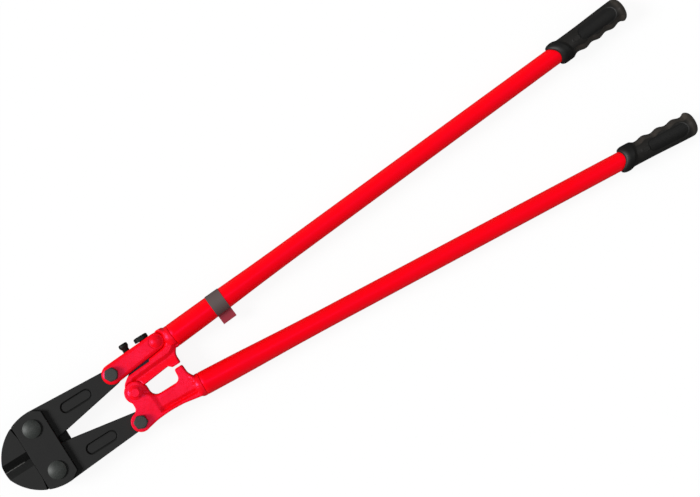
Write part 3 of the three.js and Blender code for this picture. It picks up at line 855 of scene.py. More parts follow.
@dataclass
class Castings:
    """The two handle castings and the adjuster link, with their soft cast relief."""

    voxel: float = 0.8 * MM
    passes: int = 8
    face: float = 13.5 * MM
    relief_reach: float = 6 * MM
    relief_land: float = 0.8 * MM
    face_fit: float = 0.4 * MM
    fill_depth: float = 4 * MM
    neck_steps: int = 72
    tail_pivot: Span = (-16 * MM, 43 * MM)
    link_pivot: Span = (67.5 * MM, 50 * MM)
    tail_boss: float = 16 * MM
    link_end: float = 13.5 * MM
    arm_shelf: float = 30.2 * MM
    arm_step: float = 44 * MM
    link_gap: float = 0.8 * MM
    arm_chamfer: Span = (2.8 * MM, 2.3 * MM)
    pivot_boss: float = 17.4 * MM
    boss_gap: float = 0.6 * MM
    boss_close: float = 0.75
    boss_fade: float = 2 * MM
    boss_floor: float = 7.6 * MM
    # painted shade: where the slot and the window are painted dark, as shade falls there
    slot_shade_side: Span = (5.6 * MM, 7.0 * MM)
    wedge_end: Span = (42 * MM, 47 * MM)
    wedge_height: Span = (11.2 * MM, 12.6 * MM)
    tongue_end: Span = (60 * MM, 66 * MM)
    tongue_height: Span = (7.3 * MM, 7.7 * MM)
    window_side: Span = (9 * MM, 11 * MM)
    window_height: Span = (11.0 * MM, 12.4 * MM)
    window_front: Span = (-6 * MM, 2 * MM)
    window_rear: Span = (44 * MM, 50 * MM)
    trough: Outline = in_mm(
        (9, 15.6), (30, 17), (50, 18.4), (68, 19.3), (78, 20.6), (85, 24.2), (90.5, 29.5), (95, 36)
    )
    trough_depth: float = 4.2 * MM
    trough_wall: float = 5.6 * MM
    trough_return: float = 16 * MM
    trough_lead: float = 0.4 * MM
    groove_fill: Outline = in_mm((10, 13.5), (72, 18), (92, 36), (92, 44), (84, 43), (70, 27), (10, 21.5))
    panel_fill: Outline = in_mm((20, -44), (60, -46.5), (83, -49), (85.5, -27), (66, -23.4), (25, -21.6))
    step_line: Outline = in_mm((-60, 18.3), (-41, 18.1), (-20, 17.3), (-10, 14.6), (0, 12.2), (16, 10.6))
    rib_line: Outline = in_mm((15, -45.4), (50, -46.4), (82, -48.2))
    neck: Outline = in_mm(
        (-20, 0), (-20, 8.8), (-17, 11.3), (-13.5, 14.2), (-10, 16.9), (-7.5, 18.3), (-5, 18.95),
        (-0.4, 18.95), (-0.4, 0)
    )
    panel_depth: float = 3.0 * MM
    panel_wall: float = 7 * MM
    panel_end: Span = (81 * MM, 85 * MM)
    panel_end_side: Span = (20 * MM, 27 * MM)
    step_lead: float = 0.8 * MM
    rib_depth: float = 2.7 * MM
    rib_wall: float = 5.4 * MM
    rib_return: float = 4 * MM
    link_crown: float = 2.3 * MM
    link_crown_reach: float = 4.8 * MM
    rivet_ring: float = 10 * MM
    ring_depth: float = 0.7 * MM
    ring_width: float = 0.9 * MM

    def build(self) -> None:
        """Makes the three castings."""
        self._upper()
        self._lower()
        self._link()

    def _publish(self, mesh: bpy.types.Mesh, node: str, body: str) -> None:
        """Dresses a casting's skin in red enamel."""
        publish(mesh, f"{node}_skin", node, body, [CAST_RED], 60.0)

    def _fill(self, bm: bmesh.types.BMesh, side: Side, outline: Outline) -> None:
        """Fills a sunk form level with both faces, to be sunk again, and smooths the neck.

        Args:
            bm: The casting's copy, which is changed.
            side: The casting's side.
            outline: The sunk form in plan.
        """
        for sign in (1, -1):
            levels = sorted((MID + sign * (self.face - self.fill_depth), MID + sign * self.face))
            add_prism(bm, outline, *levels)
        neck = lathe(self.neck, self.neck_steps)
        bmesh.ops.transform(neck, matrix=Handle(side).place, verts=neck.verts)
        mesh = as_mesh(neck, "neck")
        bm.from_mesh(mesh)
        bpy.data.meshes.remove(mesh)

    def _sink(self, mesh: bpy.types.Mesh, drop: Array) -> None:
        """Lowers both faces of a casting.

        Args:
            mesh: The casting's skin, which is changed.
            drop: How far each vertex would sink if it lay on a face, in metres.
        """
        points = mesh_points(mesh)
        height = points[:, 2] - MID
        size = np.abs(height)
        share = smooth_rise(size, self.face - self.relief_reach, self.face - self.relief_land)
        share = np.where(size > self.face + self.face_fit, 0.0, share)
        points[:, 2] = MID + np.sign(height) * (size - share * drop)
        move_points(mesh, points)

    def _upper(self) -> None:
        """The upper casting: a long step along its arm, and painted shade on the tongue inside the link.
        """
        fill = partial(self._fill, side=Side.UPPER, outline=self.groove_fill)
        mesh = softened_copy("upper_casting", self.voxel, self.passes, fill)
        points = mesh_points(mesh)
        plan, x, y = points[:, :2], points[:, 0], points[:, 1]
        off = path_offset(plan, self.trough)
        wall = 1 - slope(off, 0.0, self.trough_wall)
        rise = smooth_rise(-off, self.trough_lead, self.trough_return)
        trough = self.trough_depth * np.minimum(wall, 1 - rise)
        ahead = segment_distance(plan, self.tail_pivot, self.link_pivot) - self._link_half(x)
        beside = np.where(x < self.arm_step, self.arm_shelf - y, ahead - self.link_gap)
        width, drop = self.arm_chamfer
        edge = drop * (1 - slope(beside, 0.0, width))
        self._sink(mesh, np.maximum(trough, edge))
        self._close_on_boss(mesh)
        size = np.abs(mesh_points(mesh)[:, 2] - MID)
        # painted shade on the tongue and the wedge deep inside the link's fork
        inside = 1 - smooth_rise(ahead, *self.slot_shade_side)
        wedge = (1 - smooth_rise(x, *self.wedge_end)) * (1 - smooth_rise(size, *self.wedge_height))
        tongue = (1 - smooth_rise(size, *self.tongue_height)) * (1 - smooth_rise(x, *self.tongue_end))
        carry(mesh, "slot_shade", inside * np.maximum(wedge, tongue))
        self._publish(mesh, "upper_casting", Side.UPPER.handle)

    def _link_half(self, x: Array) -> Array:
        """Half the link's width at places along the tool."""
        run = np.clip((x - self.tail_pivot[0]) / (self.link_pivot[0] - self.tail_pivot[0]), 0.0, 1.0)
        return self.tail_boss + run * (self.link_end - self.tail_boss)

    def _close_on_boss(self, mesh: bpy.types.Mesh) -> None:
        """Brings the upper casting's hollow edge up to the boss that turns in it.

        Args:
            mesh: The casting's skin, which is changed.
        """
        points = mesh_points(mesh)
        far = np.hypot(points[:, 0], points[:, 1])
        wall = self.pivot_boss + self.boss_gap
        open_edge = np.abs(points[:, 2] - MID) > self.boss_floor
        near = (1 - smooth_rise(far, wall, wall + self.boss_fade)) * open_edge
        scale = 1 - near * self.boss_close * self.boss_gap / np.maximum(far, 1 * MM)
        points[:, :2] *= scale[:, None]
        move_points(mesh, points)

    def _lower(self) -> None:
        """The lower casting: raised round its two bolts, with a rib under its sunk panel."""
        fill = partial(self._fill, side=Side.LOWER, outline=self.panel_fill)
        mesh = softened_copy("lower_casting", self.voxel, self.passes, fill)
        points = mesh_points(mesh)
        x, y = points[:, 0], points[:, 1]
        step = x - np.interp(y, *zip(*self.step_line))
        rib = y - np.interp(x, *zip(*self.rib_line))
        end = smooth_rise(x, *self.panel_end) * smooth_rise(-y, *self.panel_end_side)
        along = slope(step, -self.step_lead, self.panel_wall - self.step_lead) * (1 - end)
        above = smooth_rise(rib, -self.rib_return, 0.0)
        groove = above * (1 - slope(rib, 0.0, self.rib_wall))
        self._sink(mesh, along * (self.panel_depth * above + self.rib_depth * groove))
        # no painted shade on this casting
        carry(mesh, "slot_shade", np.zeros(len(points)))
        self._publish(mesh, "lower_casting", Side.LOWER.handle)

    def _link(self) -> None:
        """The adjuster link: crowned, with a raised ring round its rivet, and painted shade on its low
        side in the window.
        """
        mesh = softened_copy("adjuster_link", self.voxel, self.passes)
        points = mesh_points(mesh)
        plan, x, y = points[:, :2], points[:, 0], points[:, 1]
        inward = self._link_half(x) - segment_distance(plan, self.tail_pivot, self.link_pivot)
        crown = self.link_crown * (1 - slope(inward, 0.0, self.link_crown_reach))
        ring = np.hypot(x - self.link_pivot[0], y - self.link_pivot[1]) - self.rivet_ring
        seat = self.ring_depth * np.exp(-((ring / self.ring_width) ** 2))
        self._sink(mesh, crown + seat)
        size = np.abs(points[:, 2] - MID)
        axis = np.interp(x, *zip(self.tail_pivot, self.link_pivot))
        # painted shade on the link's low side where it sits in the casting's window
        low_side = smooth_rise(axis - y, *self.window_side) * (1 - smooth_rise(size, *self.window_height))
        window = smooth_rise(x, *self.window_front) * (1 - smooth_rise(x, *self.window_rear))
        carry(mesh, "slot_shade", low_side * window)
        self._publish(mesh, "adjuster_link", "adjuster")


# ---------------------------------------------------------------- fasteners


@dataclass
class HexPart:
    """A hexagon head with its shank, or a nut, turned and then pressed to six flats."""

    node: str
    body: str
    slot: Slot
    finish: Finish
    flats: float
    height: float
    shank: float
    turn: float = 0.0
    hanging: bool = False
    across: bool = False
    nut: bool = False
    corner_round: float = 0.965
    top_share: float = 0.965
    fillet: float = 0.5 * MM
    crown_share: float = 0.62
    crown_start: float = math.radians(25)
    crown_rings: int = 5
    face_share: float = 0.6
    seat_chamfer: float = 0.5 * MM
    bore_chamfer: float = 0.6 * MM
    tip_chamfer: float = 0.7 * MM
    press_share: float = 0.85
    flat_sharpness: float = 36.0
    bore_gap: float = 0.3 * MM
    steps: int = 96

    def build(self) -> None:
        """Makes the part on its node's axis."""
        low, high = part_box(self.node)
        span = (high.y - low.y) if self.across else (high.z - low.z)
        bm = lathe(self._profile(span - self.height), self.steps)
        for vert in bm.verts:
            self._press(vert)
        bmesh.ops.recalc_face_normals(bm, faces=bm.faces)
        bmesh.ops.transform(bm, matrix=self._place(low, high), verts=bm.verts)
        publish(bm, f"{self.node}_metal", self.node, self.body, [self.finish], 40.0)

    def _profile(self, shank_length: float) -> list[Span]:
        """Draws the round blank, with its seat at zero and its top at its height.

        Args:
            shank_length: From the seat down to the tip of the shank, if it has one.

        Returns:
            Places along the axis and radii.
        """
        corner = self.flats / math.sqrt(3)
        top = self.top_share * self.flats / 2
        drop = (corner - top) * self.crown_share
        side = [(0.0, top), (self.seat_chamfer, corner), (self.height - drop, corner)]
        crown = [
            (self.height - self.fillet * (1 - math.sin(a)), top - self.fillet * (1 - math.cos(a)))
            for a in np.linspace(self.crown_start, math.pi / 2, self.crown_rings)
        ]
        if self.nut:
            bore = self.shank + self.bore_gap
            mouth = [(self.height, bore + self.bore_chamfer), (self.height - self.seat_chamfer, bore)]
            return [(0.0, bore), *side, *crown, *mouth, (0.0, bore)]
        tip = [(-shank_length, 0.0), (-shank_length, self.shank - self.tip_chamfer)]
        thread = [(-shank_length + self.tip_chamfer, self.shank), (0.0, self.shank)]
        face = [(self.height, self.face_share * top), (self.height, 0.0)]
        return [*tip, *thread, *side, *crown, *face]

    def _press(self, vert: bmesh.types.BMVert) -> None:
        """Brings a vertex of the head in to the nearest flat.

        Args:
            vert: The vertex, which is moved.
        """
        along, y, z = vert.co
        radius = math.hypot(y, z)
        if along < -POLE_FIT or radius < self.flats / 2 * self.press_share:
            return
        bearing = math.atan2(z, y) % (math.pi / 3) - math.pi / 6
        flat = self.flats / 2 / math.cos(bearing)
        limit = min(radius, self.corner_round * self.flats / math.sqrt(3))
        sharp = self.flat_sharpness
        pressed = (flat**-sharp + limit**-sharp) ** (-1 / sharp)
        vert.co.y, vert.co.z = y * pressed / radius, z * pressed / radius

    def _place(self, low: Vector, high: Vector) -> Matrix:
        """Finds the way from the turned blank's frame to the tool's.

        Args:
            low: The low corner of the node's box.
            high: Its high corner.

        Returns:
            The matrix.
        """
        middle = (low + high) / 2
        spin = Matrix.Rotation(self.turn, 4, "X")
        if self.across:
            seat = Vector((middle.x, high.y - self.height, middle.z))
            return Matrix.Translation(seat) @ Matrix.Rotation(math.pi / 2, 4, "Z") @ spin
        if self.hanging:
            seat = Vector((middle.x, middle.y, low.z + self.height))
            return Matrix.Translation(seat) @ Matrix.Rotation(math.pi / 2, 4, "Y") @ spin
        seat = Vector((middle.x, middle.y, high.z - self.height))
        return Matrix.Translation(seat) @ Matrix.Rotation(-math.pi / 2, 4, "Y") @ spin


@dataclass
class Fasteners:
    """Bolts, nuts, washers, the link's rivet and the two screws of the adjuster."""

    washer_bore: float = 6.3 * MM
    link_shank: float = 6.5 * MM
    link_dome_height: float = 3.6 * MM
    screw_radius: float = 5.75 * MM
    screw_head: float = 7.5 * MM
    screw_head_height: float = 7.6 * MM
    thread_pitch: float = 1.5 * MM
    thread_depth: float = 0.35 * MM
    thread_ring: float = 0.25 * MM
    thread_ends: Span = (0.8 * MM, 1.2 * MM)
    thread_skin: float = 0.9
    screw_tip: float = 0.9 * MM
    screw_relief: float = 1.0 * MM
    screw_neck: Outline = in_mm((1.4, 0.6), (2.0, 0.1), (2.6, 0))
    screw_crown: Outline = in_mm((1.9, 0.1), (0.9, 0.6), (0.25, 1.5), (0, 2.6))
    screw_steps: int = 64
    dome_rings: int = 12

    def build(self) -> None:
        """Makes every fastener."""
        for part in self._hex_parts():
            part.build()
        self._screw()
        self._washer("pivot_top_washer", 1)
        self._washer("pivot_bottom_washer", -1)
        self._link_rivet()

    def _stand(self, bm: bmesh.types.BMesh, centre: Vector, sign: int = 1) -> None:
        """Turns a lathed piece upright at a place, or head down if the sign is -1."""
        place = Matrix.Translation(centre) @ Matrix.Rotation(-sign * math.pi / 2, 4, "Y")
        bmesh.ops.transform(bm, matrix=place, verts=bm.verts)

    def _washer(self, node: str, sign: int) -> None:
        """A thick washer with a sloping, rounded rim.

        Args:
            node: The washer's node.
            sign: 1 for the washer under the bolt's head, -1 for the one under the nut.
        """
        low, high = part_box(node)
        half, rim = (high.z - low.z) / 2, (high.x - low.x) / 2
        profile = [
            (-half, self.washer_bore),
            (-half, rim - 0.1 * MM),
            (-half + 0.3 * MM, rim),
            (-0.1 * half, rim - 0.5 * MM),
            (half - 0.25 * MM, rim - 1.5 * MM),
            (half, rim - 2.2 * MM),
            (half, self.washer_bore),
            (-half, self.washer_bore),
        ]
        bm = lathe(profile, self.screw_steps)
        self._stand(bm, (low + high) / 2, sign)
        publish(bm, f"{node}_ring", node, "centre_pivot", [CAST_RED], 25.0)

    def _link_rivet(self) -> None:
        """The link's rivet: a full round dome at each end, thick with paint."""
        low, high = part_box("link_rivet")
        half, rim = (high.z - low.z) / 2, (high.x - low.x) / 2
        seat = half - self.link_dome_height
        ball = (rim**2 + self.link_dome_height**2) / (2 * self.link_dome_height)
        sweep = math.asin(rim / ball)
        rings = [sweep * (1 - ring / self.dome_rings) for ring in range(self.dome_rings + 1)]
        upper = [(half - ball * (1 - math.cos(a)), ball * math.sin(a)) for a in rings]
        lower = [(-along, radius) for along, radius in reversed(upper)]
        bm = lathe([*lower, (-seat, self.link_shank), (seat, self.link_shank), *upper], self.screw_steps)
        self._stand(bm, (low + high) / 2)
        publish(bm, "link_rivet_dome", "link_rivet", "upper_handle", [CAST_RED])

    def _hex_parts(self) -> list[HexPart]:
        """Lists the hexagon bolts and nuts with their sizes.

        Returns:
            The parts, not yet built.
        """
        dark = {"slot": Slot.DARK, "finish": PHOSPHATE, "flats": 20 * MM, "shank": 7 * MM}
        black = {"slot": Slot.DARK, "finish": BLACKED, "flats": 21 * MM, "shank": 4.6 * MM}
        red = {"slot": Slot.RED, "finish": CAST_RED, "shank": 6 * MM}
        soft = {"corner_round": 0.94, "fillet": 1.2 * MM, "top_share": 0.9}
        nut = {"hanging": True, "nut": True}
        parts = []
        tails = ((Side.UPPER, "adjuster", math.radians(28)), (Side.LOWER, "lower_handle", math.radians(6)))
        for side, body, turn in tails:
            parts.append(HexPart(f"{side.word}_tail_bolt", body, height=8.8 * MM, turn=turn, **dark))
            parts.append(HexPart(f"{side.word}_tail_nut", body, height=7.7 * MM, **nut, **dark))
        return [
            *parts,
            HexPart("locking_bolt", "locking_bolt", height=7.4 * MM, across=True, **black),
            HexPart("pivot_bolt", "centre_pivot", flats=16.5 * MM, height=6.5 * MM, **soft, **red),
            HexPart("pivot_nut", "centre_pivot", flats=18 * MM, height=6 * MM, **nut, **soft, **red),
        ]

    def _screw(self) -> None:
        """The adjusting screw: a threaded shank under a round head with a coned neck."""
        low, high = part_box("adjusting_screw")
        length = high.y - low.y
        seat = length - self.screw_head_height
        head = self.screw_head
        start, stop = self.thread_ends[0], seat - self.thread_ends[1]
        profile = [
            (0.0, 0.0),
            (0.0, self.screw_radius - self.screw_tip),
            *((s, self.screw_radius) for s in np.arange(start, stop, self.thread_ring)),
            (seat - self.screw_relief, self.screw_radius),
            *((seat + along, head - drop) for along, drop in self.screw_neck),
            *((length - along, head - drop) for along, drop in self.screw_crown),
            (length, 0.0),
        ]
        bm = lathe(profile, self.screw_steps)
        for vert in bm.verts:
            along, y, z = vert.co
            radius = math.hypot(y, z)
            if start < along < stop and radius > self.screw_radius * self.thread_skin:
                turns = along / self.thread_pitch + math.atan2(z, y) / (2 * math.pi)
                cut = self.thread_depth * (1 - math.cos(2 * math.pi * turns))
                vert.co.y, vert.co.z = y * (1 - cut / radius), z * (1 - cut / radius)
        middle = (low + high) / 2
        seat_place = Matrix.Translation(Vector((middle.x, low.y, middle.z)))
        bmesh.ops.transform(bm, matrix=seat_place @ Matrix.Rotation(math.pi / 2, 4, "Z"), verts=bm.verts)
        node = "adjusting_screw"
        publish(bm, f"{node}_metal", node, node, [BLACKED], 45.0)


# ---------------------------------------------------------------- handles


@dataclass
class Handle:
    """One tube with its grip, in a frame along the tube from the socket's mouth."""

    side: Side
    socket_mouth: Span = (94.5 * MM, 44 * MM)
    splay: float = math.radians(4.2)
    tube_length: float = 874 * MM
    tube_wall: float = 2.4 * MM
    tube_sections: Outline = in_mm(
        (0, 18.9), (60, 18.4), (100, 17.6), (158, 16.4), (216, 15.8), (874, 14.6)
    )
    lip: float = 0.5 * MM
    tube_steps: int = 96
    tube_ring: float = 6 * MM

    @property
    def place(self) -> Matrix:
        """From the handle's own frame to the whole tool's."""
        sign = self.side.value
        mouth = Vector((self.socket_mouth[0], sign * self.socket_mouth[1], MID))
        return Matrix.Translation(mouth) @ Matrix.Rotation(sign * self.splay, 4, "Z")

    def radius(self, along: float) -> float:
        """The tube's outer radius at a place along it."""
        places, radii = zip(*self.tube_sections)
        return float(np.interp(along, places, radii))

    def build(self) -> None:
        """Makes the tube and the grip."""
        self._tube()
        Grip(self).build()

    def _tube(self) -> None:
        """The drawn tube, swaged out over the casting's tang."""
        count = round(self.tube_length / self.tube_ring)
        places = np.linspace(0.0, self.tube_length, count + 1)
        raw = np.array([self.radius(s) for s in places])
        swage = np.convolve(np.pad(raw, 3, mode="edge"), np.ones(7) / 7, mode="valid")
        skin = [(self.lip, swage[0])] + list(zip(places[1:], swage[1:]))
        bore = [(s, r - self.tube_wall) for s, r in reversed(list(zip(places, swage)))]
        rounded = [(0.0, swage[0] - self.lip)]
        bm = lathe([*rounded, *skin, *bore, rounded[0]], self.tube_steps)
        bmesh.ops.transform(bm, matrix=self.place, verts=bm.verts)
        node = f"{self.side.word}_tube"
        publish(bm, f"{node}_drawn", node, self.side.handle, [TUBE_RED], 50.0)


@dataclass
class Grip:
    """A moulded grip: saddle-cut collar, finger hollows, ribbed panels and a swelling end."""

    handle: Handle
    length: float = 135.5 * MM
    start: float = 744.5 * MM
    bore_depth: float = 129.8 * MM
    bore_gap: float = 0.3 * MM
    radius: float = 18.1 * MM
    collar_radius: float = 20.6 * MM
    collar_length: float = 18 * MM
    collar_step: float = 9 * MM
    lip_length: float = 10 * MM
    lip_height: float = 5.2 * MM
    collar_tilt: float = 4 * MM
    collar_offset: float = -1 * MM
    step_tilt: float = 6.5 * MM
    saddle: float = 7 * MM
    end_flare: float = 1.4 * MM
    held_share: float = 0.75
    held_end: Span = (20 * MM, 8 * MM)
    flare_start: float = 40 * MM
    end_round: float = 11 * MM
    finger_start: float = 36.5 * MM
    finger_pitch: float = 27 * MM
    finger_count: int = 3
    finger_height: float = 1.7 * MM
    finger_lead: float = 14 * MM
    finger_end: Span = (16 * MM, 8 * MM)
    lobe_edge: float = 0.35
    hollow: float = 2.4 * MM
    hollow_ease: float = 0.55
    crease: float = math.radians(52)
    crease_wave: float = math.radians(11)
    crease_width: float = math.radians(2.6)
    panel_centre: float = 83 * MM
    panel_half: float = 35.5 * MM
    panel_width: float = 12.6 * MM
    panel_turn: float = math.radians(5)
    panel_depth: float = 0.8 * MM
    panel_wall: float = 0.8 * MM
    rib_pitch: float = 2.3 * MM
    rib_row: float = 6.2 * MM
    rib_height: float = 0.42 * MM
    rib_slant: float = 0.55
    rib_level: float = 0.4
    pad_centre: float = 42 * MM
    pad_half: Span = (8 * MM, 4.6 * MM)
    pad_height: float = 0.45 * MM
    pad_inner: Span = (0.72, 0.8)
    pad_outer: Span = (0.92, 1.0)
    tilt_fade: float = 34 * MM
    bore_fit: float = 1 * MM
    pole_share: float = 0.6
    # wear with a painted sheen: lighter on the finger lobes and at the end, a little wear behind the
    # collar
    finger_wear_and_sheen: float = 0.55
    end_wear_and_sheen: float = 0.7
    body_wear: float = 0.15
    wear_and_sheen_end: Span = (18 * MM, 10 * MM)
    unworn_depth: float = 0.2 * MM
    steps: int = 176
    ring: float = 0.5 * MM

    def build(self) -> None:
        """Makes the grip."""
        bm = lathe(self._profile(), self.steps)
        mesh = as_mesh(bm, "grip_block")
        self._mould(mesh)
        mesh.transform(self.handle.place @ Matrix.Translation((self.start, 0, 0)))
        side = self.handle.side
        node = f"{side.word}_grip"
        publish(mesh, f"{node}_moulding", node, side.handle, [RUBBER], 70.0)

    def _profile(self) -> list[Span]:
        """Draws the round form before it is moulded, bore first and then the outside.

        Returns:
            Places along the grip and radii.
        """
        mouth = self.handle.radius(self.start) + self.bore_gap
        tail = self.handle.radius(self.handle.tube_length) + self.bore_gap
        places = np.linspace(0.0, self.length, round(self.length / self.ring) + 1)
        outside = [(s, self._end_radius(s)) for s in places[:-1]]
        bore = [(self.bore_depth, 0.0), (self.bore_depth, tail), (0.0, mouth)]
        return [*bore, *outside, (self.length, 0.0)]

    def _end_radius(self, s: float) -> float:
        """The plain body's radius with its rounded end."""
        left = max(0.0, self.end_round - (self.length - s))
        return self.radius - self.end_round + math.sqrt(max(0.0, self.end_round**2 - left**2))

    def _near_end(self, s: Array, back: Span) -> Array:
        """A smooth rise to 1 between two places, measured back from the grip's end."""
        return smooth_rise(s, self.length - back[0], self.length - back[1])

    def _fingers(self, s: Array, from_inner: Array) -> tuple[Array, Array]:
        """Shapes the finger side.

        Args:
            s: Places along the grip.
            from_inner: Angles round it from the inner side.

        Returns:
            How far the skin stands out at each place, and 1 where it is the finger side.
        """
        run = (s - self.finger_start) / self.finger_pitch
        wave = np.where((run > 0) & (run < self.finger_count), (1 - np.cos(2 * np.pi * run)) / 2, 0.0)
        end = self._near_end(s, self.finger_end)
        wave = np.maximum(wave, end)
        crease = self.crease + self.crease_wave * (0.5 - wave)
        side = 1 - smooth_rise(from_inner, crease - self.crease_width, crease + self.crease_width)
        reach = smooth_rise(s, self.finger_start - self.finger_lead, self.finger_start)
        deep = 1 - smooth_rise(from_inner, 0.0, crease)
        lobe = wave * self.finger_height * (self.lobe_edge + (1 - self.lobe_edge) * deep)
        rise = lobe - (1 - wave) * self.hollow * (1 - self.hollow_ease * deep)
        return side * reach * rise, side * reach

    def _panel(self, s: Array, across: Array) -> Array:
        """Shapes the ribbed panel.

        Args:
            s: Places along the grip.
            across: Distances round it from the panel's middle.

        Returns:
            How far the panel lies below the skin at each place.
        """
        run = np.maximum(0.0, np.abs(s - self.panel_centre) - self.panel_half + self.panel_width)
        oval = np.hypot(run, across)
        panel = 1 - smooth_rise(oval, self.panel_width - self.panel_wall, self.panel_width)
        fold = np.abs((across / self.rib_row + 0.25) % 1.0 - 0.5) * 2
        slant = s + self.rib_slant * self.rib_row * fold
        ribs = (1 + np.cos(2 * np.pi * slant / self.rib_pitch)) / 2
        return panel * (self.panel_depth - self.rib_height * (ribs - self.rib_level))

    def _mould(self, mesh: bpy.types.Mesh) -> None:
        """Moves the round form's vertices into the moulded shape.

        Args:
            mesh: The round form, which is changed.
        """
        points = mesh_points(mesh)
        s, y, z = points[:, 0].copy(), points[:, 1], points[:, 2]
        radius = np.hypot(y, z)
        inner = -self.handle.side.value * y / np.maximum(radius, 1e-9)
        upward = z / np.maximum(radius, 1e-9)
        past_bore = s > self.bore_depth + self.bore_fit
        outside = (radius > self.handle.radius(self.start) + self.bore_fit) | past_bore
        from_inner = np.arccos(np.clip(inner, -1.0, 1.0))
        finger, finger_side = self._fingers(s, from_inner)

        step_place = self.collar_length + self.step_tilt * inner
        collar = 1 - smooth_rise(s, step_place, step_place + self.collar_step)
        lip = 1 - np.sqrt(np.maximum(0.0, 1 - (1 - np.clip(s / self.lip_length, 0.0, 1.0)) ** 2))
        swell = collar * (self.collar_radius - self.radius) - self.lip_height * lip
        flare = self.end_flare * smooth_rise(s, self.flare_start, self.length - self.end_round)
        held = finger_side * (1 - self._near_end(s, self.held_end))
        flare = flare * (1 - self.held_share * held)

        across = self.radius * (np.arcsin(np.clip(-inner, -1.0, 1.0)) - self.panel_turn)
        pad = np.hypot((s - self.pad_centre) / self.pad_half[0], across / self.pad_half[1])
        ring = self.pad_height * (smooth_rise(pad, *self.pad_inner) - smooth_rise(pad, *self.pad_outer))
        panel = self._panel(s, across)
        skin = finger + swell + flare - panel + ring
        pole = np.minimum(1.0, radius / (self.radius - self.end_round * self.pole_share))
        grow = np.where(outside, skin, 0.0) * pole
        scale = (radius + grow) / np.maximum(radius, 1e-9)
        points[:, 1] = y * scale
        points[:, 2] = z * scale
        fade = 1 - smooth_rise(s, 0.0, self.tilt_fade)
        rim = self.collar_offset - self.collar_tilt * -inner + self.saddle * upward**2
        bore_rim = outside | (s < self.bore_fit)
        points[:, 0] = s + np.where(bore_rim, fade * rim, 0.0)
        move_points(mesh, points)
        # wear with a painted sheen on the finger lobes and the end, none in the sunk panels
        end = self._near_end(s, self.wear_and_sheen_end)
        worn = self.finger_wear_and_sheen * finger_side + self.end_wear_and_sheen * end + self.body_wear * (1 - collar)
        worn = np.where(outside & (panel <= self.unworn_depth), worn, 0.0)
        carry(mesh, "worn", np.clip(worn, 0.0, 1.0))


@dataclass
class Label:
    """The label round the upper tube, its two ends joined in a flag."""

    handle: Handle
    near: float = 74 * MM
    width: float = 24 * MM
    thickness: float = 0.5 * MM
    gap: float = 0.3 * MM
    flag: float = 15 * MM
    flag_blend: float = 1 * MM
    edge_round: float = 0.15 * MM
    steps: int = 96
    cells: int = 10

    def build(self) -> None:
        """Makes the wrap and its flag as one piece."""
        far = self.near + self.width
        inner = [(s, self.handle.radius(s) + self.gap) for s in np.linspace(self.near, far, self.cells)]
        outer = [(s, r + self.thickness) for s, r in reversed(inner)]
        bm = lathe([*inner, *outer, inner[0]], self.steps)
        root = self.handle.radius(far) + self.gap + self.thickness / 2
        low = Vector((self.near, -root - self.flag, -self.thickness))
        high = Vector((far, -root, self.thickness))
        size, centre = high - low, (high + low) / 2
        place = Matrix.Translation(centre) @ Matrix.Diagonal((*size, 1.0))
        made = bmesh.ops.create_cube(bm, size=1.0, matrix=place)
        edges = {e for v in made["verts"] for e in v.link_edges}
        bmesh.ops.bevel(
            bm,
            geom=list(edges),
            offset=self.edge_round,
            offset_type="OFFSET",
            affect="EDGES",
            segments=1,
            profile=0.5,
            material=-1,
        )
        bmesh.ops.transform(bm, matrix=self.handle.place, verts=bm.verts)
        mesh = as_mesh(bm, "label_wrap")
        local = mesh_points(mesh) @ np.array(self.handle.place.inverted().to_3x3()).T
        shift = self.handle.place.inverted().translation
        sideways = -(local[:, 1] + shift.y)
        carry(mesh, "flag", smooth_rise(sideways, root - self.flag_blend, root))
        publish(mesh, "label_wrap", "label_band", self.handle.side.handle, [LABEL_FILM])


# ---------------------------------------------------------------- studio


@dataclass(frozen=True)
class SoftBox:
    """A square lamp that hangs over the tool, with its power in watts."""

    name: str
    place: Place
    size: float
    power: float


